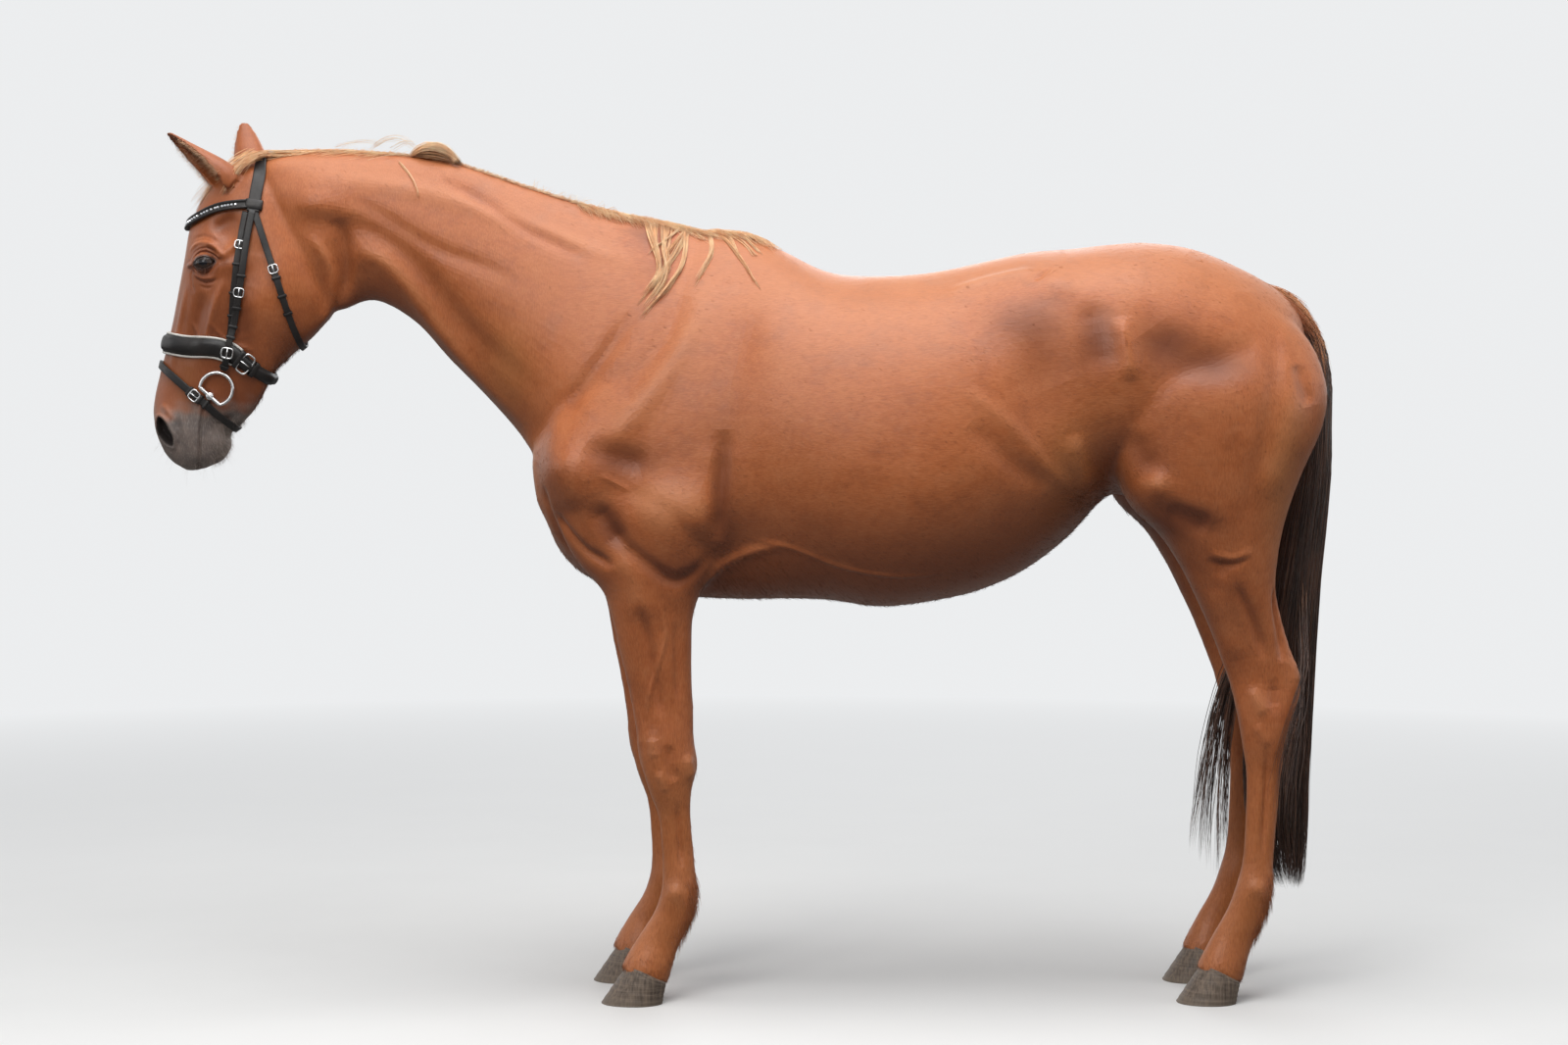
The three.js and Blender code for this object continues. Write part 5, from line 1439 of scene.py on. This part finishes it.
def paintEye():
    p = Paint("eyePaint")
    sep = p.node("SeparateXYZ", {0: p.place()})
    dy = p.math("DIVIDE", p.math("SUBTRACT", sep.outputs[1], ey - .001), .0100)
    dz = p.math("DIVIDE", p.math("SUBTRACT", sep.outputs[2], ez), .0062)
    pupil = p.math("SQRT", p.math("ADD", p.math("MULTIPLY", dy, dy), p.math("MULTIPLY", dz, dz)))
    ry = p.math("DIVIDE", p.math("SUBTRACT", sep.outputs[1], ey), .0185)
    rz = p.math("DIVIDE", p.math("SUBTRACT", sep.outputs[2], ez), .0170)
    iris = p.math("SQRT", p.math("ADD", p.math("MULTIPLY", ry, ry), p.math("MULTIPLY", rz, rz)))
    rays = p.grain((260, 260, 420), 3.0)
    brown = p.mix(p.span(rays, .35, .7), (.018, .008, .005), (.050, .022, .011))
    colour = p.mix(p.span(pupil, .85, 1.1), (.004, .004, .007), brown)
    colour = p.mix(p.span(iris, .92, 1.08), colour, (.028, .018, .015))
    return p.finish(Base_Color=colour, Roughness=.25, Specular_IOR_Level=.2, Coat_Weight=1.0, Coat_Roughness=.02,
                    Coat_IOR=1.38)


eyePaint = paintEye()
for which, side in (("left", 1), ("right", -1)):
    deselectAll()
    bpy.ops.mesh.primitive_uv_sphere_add(segments=48, ring_count=32, radius=headLook["ball"],
                                         location=(side * ex, ey, ez), rotation=(0, math.pi / 2, 0))
    ball = bpy.context.active_object
    ball.name = "eyeball_" + which
    bpy.ops.object.transform_apply(location=True, rotation=True, scale=True)
    p = pointsOf(ball)
    bulge = between(.0125, .0, np.linalg.norm(p[:, 1:] - np.array([ey, ez]), axis=1)) * (p[:, 0] * side > ex)
    p[:, 0] += side * .0010 * bulge
    setPoints(ball, p)
    bpy.ops.object.shade_smooth()
    ball.data.materials.append(eyePaint)
    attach(ball, "root")
    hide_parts("eye_" + which)


# hooves: smooth horn with growth rings on a flat sole

hoofLook = {
    "fore": {"x": 132, "toe": -302, "heel": -164, "width": 128},
    "hind": {"x": 128, "toe": 940, "heel": 1072, "width": 122},
    # in front and behind of toe and heel as shares of the length, heights there, half width as a share of the width
    "rings": [[.47, -.02, 90, 50, .345], [.425, .035, 87, 45, .40], [.40, .045, 80, 40, .425],
              [.2, .02, 40, 21, .465], [.02, 0, 4, 3, .498], [.004, -.004, 0, 0, .490]],
}


def paintHorn():
    p = Paint("hornPaint")
    down = p.grain((190, 190, 12), 3.0)
    bands = p.grain((9, 9, 260), 2.0)
    wear = p.node("SeparateXYZ", {0: p.place()}).outputs[2]
    colour = p.mix(p.span(down, .35, .68), (.075, .055, .042), (.235, .175, .130))
    colour = p.tint(colour, bands, .45, .7, .4, (.31, .235, .175))
    colour = p.tint(colour, wear, .022, 0, .65, (.20, .16, .12))
    colour = p.tint(colour, wear, .070, .088, .5, (.28, .21, .165))
    height = p.math("ADD", p.math("MULTIPLY", down, .5), bands)
    return p.finish(Base_Color=colour, Roughness=p.span(down, .3, .7, (.42, .62)), Specular_IOR_Level=.4,
                    Normal=p.bump(height, .35, .0012))


hornPaint = paintHorn()
for kind, look in ((k, hoofLook[k]) for k in ("fore", "hind")):
    for which, side in (("left", 1), ("right", -1)):
        shift = farForeAhead if (kind, side) == ("fore", -1) else 0
        long = look["heel"] - look["toe"]
        rows = spline(hoofLook["rings"], np.linspace(0, 1, 30))
        rows[-1, 2:4] = 0
        sides, rings = 56, []
        angle = np.linspace(0, 2 * math.pi, sides, endpoint=False)
        for k, (ahead, behind, zf, zb, share) in enumerate(rows):
            fy, by = look["toe"] + ahead * long, look["heel"] + behind * long
            c, s = np.cos(angle), np.sin(angle)
            w = np.where(c >= 0, .55 * (1 - c), .55 - .45 * c)
            grow = .0006 * math.sin(k * 2.1) * (1 if 4 < k < 26 else 0)
            half = look["width"] * share * np.abs(s) ** np.where(c >= 0, .85, 1)
            heelDip = 10 * np.exp(-((w - 1) / .16) ** 2 - (s / .28) ** 2) * (1 if k > 1 else 0)
            rings.append(np.stack([side * (look["x"] + np.sign(s) * half), fy + (by - fy) * w - heelDip - shift,
                                   np.maximum(zf + (zb - zf) * w, 0)], 1) / 1000
                         + np.stack([s * side, -c, 0 * s], 1) * grow)
        obj = closedTube(f"horn_{kind}_{which}", np.vstack(rings), sides)
        obj.data.materials.append(hornPaint)
        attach(obj, "root")
        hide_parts(f"hoof_{kind}_{which}")
print("eyes and hooves done")


# bridle: straps laid on the skin

def paintLeather(name, colour, worn, rough):
    p = Paint(name)
    grain = p.grain((1300, 1300, 1300), 3.0)
    crease = p.grain((140, 140, 330), 4.0, .65)
    blotch = p.grain((34, 34, 34), 3.0)
    edge = p.math("ABSOLUTE", p.attribute("across"))
    paint = p.tint(colour, blotch, .35, .7, .5, worn)
    paint = p.tint(paint, edge, .90, 1.0, .7, worn)
    height = p.math("ADD", p.math("MULTIPLY", grain, .5), crease)
    return p.finish(Base_Color=paint, Roughness=p.span(crease, .35, .7, (rough - .08, rough + .12)),
                    Specular_IOR_Level=.4, Normal=p.bump(height, .3, .0007))


def paintSteel():
    p = Paint("steelPaint")
    rub = p.grain((420, 420, 420), 4.0, .65)
    colour = p.mix(p.span(rub, .35, .7), (.62, .62, .63), (.80, .80, .80))
    return p.finish(Base_Color=colour, Metallic=1.0, Roughness=p.span(rub, .3, .75, (.14, .34)),
                    Normal=p.bump(rub, .08, .0004))


blackLeather = paintLeather("blackLeather", (.011, .010, .010), (.034, .027, .024), .40)
whiteEdging = paintLeather("whiteEdging", (.86, .84, .80), (.62, .57, .50), .5)
threadPaint = paintLeather("threadPaint", (.05, .045, .042), (.11, .10, .09), .6)
steelPaint = paintSteel()

profiles = {
    "flat": [(-1, .30), (-.985, .72), (-.94, .95), (-.82, 1), (-.3, 1.03), (.3, 1.03), (.82, 1), (.94, .95), (.985, .72),
             (1, .30), (.97, 0), (.5, -.05), (-.5, -.05), (-.97, 0)],
    "padded": [(-1, .18), (-.93, .30), (-.86, .34), (-.80, .44), (-.66, .80), (-.42, .98), (0, 1.06), (.42, .98),
               (.66, .80), (.80, .44), (.86, .34), (.93, .30), (1, .18), (.96, 0), (0, -.05), (-.96, 0)],
    "rolled": [(-1, .45), (-.90, .85), (-.68, 1), (-.50, .80), (-.40, .62), (0, .60), (.40, .62), (.50, .80), (.68, 1),
               (.90, .85), (1, .45), (.95, 0), (0, -.05), (-.95, 0)],
}


def smoothLine(p, rounds, closed):
    for _ in range(rounds):
        if closed:
            p = (np.roll(p, 1, 0) + 2 * p + np.roll(p, -1, 0)) / 4
        else:
            q = p.copy()
            q[1:-1] = (p[:-2] + 2 * p[1:-1] + p[2:]) / 4
            p = q
    return p


def ringPath(front, back, bend=0, low=0, high=360, count=72):
    # a loop round the head in a plane, as rays find it
    front, back = np.array(front) / 1000, np.array(back) / 1000
    middle, line = (front + back) / 2, unit(front - back)
    closed = high - low == 360
    places, outs = [], []
    for a in np.radians(np.linspace(low, high, count, endpoint=not closed)):
        bow = bend / 1000 * math.sin(a) ** 2
        base = np.array([0, middle[0] + bow * line[1], middle[1] - bow * line[0]])
        way = np.array([math.sin(a), line[0] * math.cos(a), line[1] * math.cos(a)])
        hit = skinMap.tree.ray_cast(Vector(base + way * .6), Vector(-way))
        places.append(hit[0][:])
        outs.append(hit[1][:])
    return tauten(np.array(places), np.array(outs), closed)


def sidePath(points, side, count=60):
    # a strap down the cheek: [y, z, lift] in mm
    rows = spline(np.array(points, float), np.linspace(0, 1, count))
    places, outs = [], []
    for y, z, up in rows:
        hit = skinMap.tree.ray_cast(Vector((side * .6, y / 1000, z / 1000)), Vector((-side, 0, 0)))
        places.append(np.array(hit[0]) + np.array(hit[1]) * up / 1000)
        outs.append(hit[1][:])
    return tauten(np.array(places), np.array(outs), False)


def tauten(places, outs, closed):
    # pulls a path straight as far as the skin lets it
    path, outs = smoothLine(places, 10, closed), unit(smoothLine(outs, 14, closed))
    for _ in range(4):
        for i, spot in enumerate(path):
            place, normal = skinMap.tree.find_nearest(Vector(spot))[:2]
            sunk = (Vector(spot) - place).dot(normal)
            if sunk < 0:
                path[i] -= sunk * np.array(normal)
        path = smoothLine(path, 1, closed)
    return path, outs, closed


def partOf(path, low, high):
    # a stretch of a closed path, by its turn from the front
    n = len(path[0])
    some = np.arange(round(n * low / 360), round(n * high / 360) + 1) % n
    return path[0][some], path[1][some], False


def pathFrame(path):
    places, outs, closed = path
    along = np.roll(places, -1, 0) - np.roll(places, 1, 0) if closed else np.gradient(places, axis=0)
    along = unit(along)
    across = unit(np.cross(along, outs))
    return places, along, across, unit(np.cross(across, along))


def sweepStrap(name, path, width, thick, lift, profile="flat"):
    places, along, across, up = pathFrame(path)
    closed = path[2]
    shape = np.array(profiles[profile])
    m, n = len(shape), len(places)
    width = np.broadcast_to(width, n)[:, None, None] / 2
    verts = (places[:, None] + across[:, None] * shape[None, :, :1] * width
             + up[:, None] * (lift + shape[None, :, 1:] * thick)).reshape(-1, 3)
    if closed:
        faces = tubeFaces(n + 1, m) % (n * m)
        obj = meshObject(name, verts, faces)
        outward(obj)
    else:
        obj = closedTube(name, verts, m)
    setAttribute(obj, "across", np.tile(shape[:, 0], n))
    obj.data.materials.append(blackLeather)
    return obj


def cordOn(name, path, across, lift, radius, sides, material):
    # piping along a strap: across is its place in metres from the middle
    places, along, side, up = pathFrame(path)
    across = np.broadcast_to(across, len(places))
    line = places + side * across[:, None] + up * lift
    a = np.linspace(0, 2 * math.pi, sides, endpoint=False)
    verts = (line[:, None] + side[:, None] * (np.cos(a) * radius)[None, :, None]
             + up[:, None] * (np.sin(a) * radius)[None, :, None]).reshape(-1, 3)
    if path[2]:
        obj = meshObject(name, verts, tubeFaces(len(places) + 1, sides) % len(verts))
        outward(obj)
    else:
        obj = closedTube(name, verts, sides)
    setAttribute(obj, "across", np.zeros(len(verts)))
    obj.data.materials.append(material)
    return obj


def pointAt(path, share):
    places, along, across, up = pathFrame(path)
    i = share * (len(places) - 1)
    a, f = int(i), i - int(i)
    b = min(a + 1, len(places) - 1)
    return [v[a] * (1 - f) + v[b] * f for v in (places, along, across, up)]


def placed(obj, middle, along, across, up):
    # sets a small part made at the origin onto a strap: x across, y along, z out
    p = pointsOf(obj)
    setPoints(obj, middle + p[:, :1] * across + p[:, 1:2] * along + p[:, 2:] * up)
    obj.data.materials.append(steelPaint)
    return obj


def stitches(path, across, lift, spacing=.0042):
    places, along, side, up = pathFrame(path)
    across = np.broadcast_to(across, len(places))
    if path[2]:
        places, along, side, up = [np.vstack([v, v[:1]]) for v in (places, along, side, up)]
        across = np.append(across, across[0])
    steps = np.r_[0, np.cumsum(np.linalg.norm(np.diff(places, axis=0), axis=1))]
    spots = np.arange(spacing, steps[-1] - spacing / 2, spacing)
    shape = np.array([(-1, 0, 0), (0, -1, 0), (0, 0, 1), (0, 1, 0), (1, 0, 0)], float) * [.0014, .00035, .0003]
    tri = np.array([(0, 1, 2), (0, 2, 3), (4, 2, 1), (4, 3, 2), (0, 3, 1), (4, 1, 3)])
    at = [np.stack([np.interp(spots, steps, v[:, k]) for k in range(3)], 1) for v in (places, along, side, up)]
    off = np.interp(spots, steps, across)
    middle = at[0] + at[2] * off[:, None] + at[3] * lift
    verts = (middle[:, None] + at[1][:, None] * shape[None, :, :1] + at[2][:, None] * shape[None, :, 1:2]
             + at[3][:, None] * shape[None, :, 2:]).reshape(-1, 3)
    faces = (np.arange(len(spots))[:, None, None] * 5 + tri[None]).reshape(-1, 3)
    obj = meshObject("stitches", verts, faces)
    setAttribute(obj, "across", np.zeros(len(verts)))
    obj.data.materials.append(threadPaint)
    return obj


def keeper(path, share, width, height, wide, radius=.0016):
    # a flat band across a strap
    middle, along, across, up = pointAt(path, share)
    a = np.linspace(0, 2 * math.pi, 28, endpoint=False)
    sx, sz = np.sign(np.cos(a)) * np.abs(np.cos(a)) ** .35, np.sign(np.sin(a)) * np.abs(np.sin(a)) ** .35
    rings = []
    for grow, shift in ((0, -1), (1, -1), (1, 1), (0, 1)):
        w, h = width / 2 + grow * radius, height / 2 + grow * radius
        rings.append(middle + across * (sx * w)[:, None] + up * (height / 2 + sz * h)[:, None]
                     + along * shift * wide / 2)
    verts = np.vstack(rings)
    inner = [(84 + j, 84 + (j + 1) % 28, (j + 1) % 28, j) for j in range(28)]
    obj = meshObject("keeper", verts, np.vstack([tubeFaces(4, 28), inner]))
    outward(obj)
    setAttribute(obj, "across", np.zeros(len(verts)))
    obj.data.materials.append(blackLeather)
    applyModifier(obj, "BEVEL", width=.0004, segments=1, limit_method="ANGLE")
    return obj


def buckle(path, share, width, long, lift, wire=.0016, turn=0.0):
    # a rounded frame with a tongue, lying on a strap
    deselectAll()
    bpy.ops.mesh.primitive_torus_add(major_segments=28, minor_segments=8, major_radius=1, minor_radius=.2)
    frameRing = bpy.context.active_object
    p = pointsOf(frameRing)
    flat = np.linalg.norm(p[:, :2], axis=1)
    a = np.arctan2(p[:, 1], p[:, 0])
    square = 1 / np.maximum(np.abs(np.cos(a)) ** 4 + np.abs(np.sin(a)) ** 4, 1e-6) ** .25
    rim = (flat - 1) / .2 * wire
    setPoints(frameRing, np.stack([np.cos(a) * (square * width / 2 + rim), np.sin(a) * (square * long / 2 + rim),
                                   p[:, 2] / .2 * wire], 1))
    bpy.ops.mesh.primitive_cylinder_add(vertices=10, radius=wire * .75, depth=long * 1.04, location=(0, 0, wire * .9),
                                        rotation=(math.pi / 2 - .06, 0, 0))
    tongue = bpy.context.active_object
    bpy.ops.object.transform_apply(location=True, rotation=True, scale=True)
    obj = joinObjects([frameRing, tongue])
    bpy.ops.object.shade_smooth()
    middle, along, across, up = pointAt(path, share)
    c, s = math.cos(turn), math.sin(turn)
    return placed(obj, middle + up * lift, along * c + across * s, across * c - along * s, up)


bridleLook = {
    "cheek": [(-1051, 1704, 8), (-1068, 1610, 8), (-1082, 1510, 8), (-1095, 1456, 9), (-1104, 1420, 17),
              (-1110, 1388, 17), (-1118, 1364, 10)],
    "nose": [(-1066, 1702, 3), (-1082, 1610, 3), (-1094, 1510, 3), (-1100, 1456, 3), (-1103, 1436, 3)],
    "cheekWide": .0145, "noseWide": .013, "leather": .0038,
}


def worn(obj, name, slot, nodes=()):
    obj.name = name
    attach(obj, "root")
    if nodes:
        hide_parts(*nodes)


def strap(name, path, width, thick, lift, profile="flat"):
    worn(sweepStrap("strap", path, width, thick, lift, profile), name, "bridle_leather", ["bridle_" + name])


def dressBridle():
    leather, steel, white, thread = [], [], [], []
    look = bridleLook
    crownPath = ringPath((-1034, 1830), (-1068, 1560), 0, -86, 86, 60)
    strap("headpiece", crownPath, .027, .0042, .0048)
    thread += [stitches(crownPath, s * .0112, .0092) for s in (1, -1)]
    browPath = ringPath((-1198, 1672), (-1030, 1712), 20, -126, 126, 100)
    strap("browband", browPath, .021, .0062, .006, "rolled")
    places, along, across, up = pathFrame(browPath)
    gems = []
    steps = np.r_[0, np.cumsum(np.linalg.norm(np.diff(places, axis=0), axis=1))]
    for s in np.arange(.016, steps[-1] - .016, .0080):
        i = int(np.searchsorted(steps, s)) - 1
        deselectAll()
        bpy.ops.mesh.primitive_cone_add(vertices=8, radius1=.0032, radius2=.0018, depth=.0022)
        gem = bpy.context.active_object
        gems.append(placed(gem, places[i] + up[i] * .0112, along[i], across[i], up[i]))
        gem.data.materials.clear()
    gemPaint = Paint("crystalPaint")
    tint = gemPaint.grain((160, 160, 160))
    glint = gemPaint.mix(gemPaint.span(tint, .4, .6), (.72, .75, .80), (.97, .98, 1.0))
    gemPaint.finish(Base_Color=glint, Metallic=.6, Roughness=.12)
    stones = joinObjects(gems)
    stones.data.materials.append(gemPaint.material)
    worn(stones, "browband_crystals", "bit_steel")
    throatPath = ringPath((-1066, 1760), (-950, 1386), 4, 28, 332, 120)
    strap("throatlatch", throatPath, .0145, .0038, .0048)
    nosePath = ringPath((-1246, 1420), (-1012, 1338), 30, 0, 360, 144)
    turn = np.cos(np.linspace(0, 2 * math.pi, 144, endpoint=False))
    wide = .028 + .014 * between(-.9, -.2, turn)
    strap("noseband", nosePath, wide, .0105, .0045, "padded")
    edged, wideThere = partOf(nosePath, -117.5, 117.5), wide[np.arange(-47, 48)]
    for s in (1, -1):
        white.append(cordOn("edge", edged, s * (wideThere / 2 + .0006), .0058, .0026, 8, whiteEdging))
        thread.append(stitches(nosePath, s * wide * .43, .0085))
    flashPath = ringPath((-1262, 1376), (-1100, 1236), 0, 0, 360, 120)
    strap("flash_strap", flashPath, .0165, .0038, .0042)
    thread += [stitches(flashPath, s * .0064, .0082) for s in (1, -1)]
    for which, side in (("left", 1), ("right", -1)):
        cheekPath, strapPath = sidePath(look["cheek"], side), sidePath(look["nose"], side)
        strap("cheekpiece_" + which, cheekPath, look["cheekWide"], look["leather"], 0)
        strap("noseband_strap_" + which, strapPath, look["noseWide"], look["leather"], 0)
        for share in (.24, .37, .50, .60, .93):
            leather.append(keeper(cheekPath, share, .0165, .0052, .006))
        for share in (.30, .45, .62):
            leather.append(keeper(strapPath, share, .0150, .0050, .005))
        for s in (1, -1):
            thread += [stitches(cheekPath, s * .0056, .0041), stitches(strapPath, s * .0050, .0041)]
        steel.append(buckle(cheekPath, .30, .021, .019, .0052))
        steel.append(buckle(cheekPath, .755, .024, .022, .0056, .0019))
        steel.append(buckle(strapPath, .20, .019, .017, .0052))
        # the browband's loop round the headpiece
        leather.append(keeper(crownPath, .5 + side * .43, .0315, .0085, .021, .0028))
    steel.append(buckle(throatPath, .195, .020, .018, .0092))
    leather += [keeper(throatPath, s, .017, .0092, .006) for s in (.235, .31, .37)]
    steel.append(buckle(nosePath, .365, .044, .026, .0125, .0022))
    leather += [keeper(nosePath, s, wide[int(s * 144)] + .002, .0150, .010, .002) for s in (.335, .40)]
    steel.append(buckle(flashPath, .245, .023, .021, .0090, .0019))
    leather += [keeper(flashPath, s, .019, .0088, .007) for s in (.205, .285, .33)]
    for objs, name, slot in ((leather, "keepers", "bridle_leather"), (steel, "buckles", "bit_steel"),
                             (white, "noseband_edging", "bridle_leather"), (thread, "stitching", "bridle_leather")):
        worn(joinObjects(objs), name, slot)


dressBridle()
bitLook = {"at": (-1134, 1324), "radius": .035, "wire": .0038, "lift": .013, "bar": 228}
for which, side in (("left", 1), ("right", -1)):
    y, z = bitLook["at"]
    place, normal = castRay(skinMap.tree, (side * .6, y / 1000, z / 1000), (-side, 0, 0))
    middle = place + normal * bitLook["lift"]
    normal = unit(normal * [1, 1, 0])
    level = unit(np.cross([0, 0, 1], normal)) * side
    up = np.array([0, 0, 1.0])
    r, bar = bitLook["radius"], math.radians(bitLook["bar"])
    arc = bar + np.radians(np.linspace(52, 308, 60))
    places = middle + level * (r * np.cos(arc))[:, None] + up * (r * np.sin(arc))[:, None]
    ring = cordOn("ring", (places, np.tile(normal, (60, 1)), False), 0, 0, bitLook["wire"], 12, steelPaint)
    flat = np.linspace(places[-1], places[0], 20)
    swell = cordOn("bar", (flat, np.tile(normal, (20, 1)), False), 0, 0, bitLook["wire"] * 1.12, 12, steelPaint)
    deselectAll()
    bpy.ops.mesh.primitive_cylinder_add(vertices=20, radius=.0085, depth=.030)
    stub = bpy.context.active_object
    editMesh(stub, (bpy.ops.mesh.bevel, {"offset": .0022, "segments": 3}))
    centre = (places[0] + places[-1]) / 2
    placed(stub, centre - normal * .011, level, up, normal)
    bit = joinObjects([ring, swell, stub])
    bpy.ops.object.shade_smooth_by_angle(angle=.7)
    worn(bit, "bit_" + which, "bit_steel", ["bit_ring_" + which])
print("bridle done")
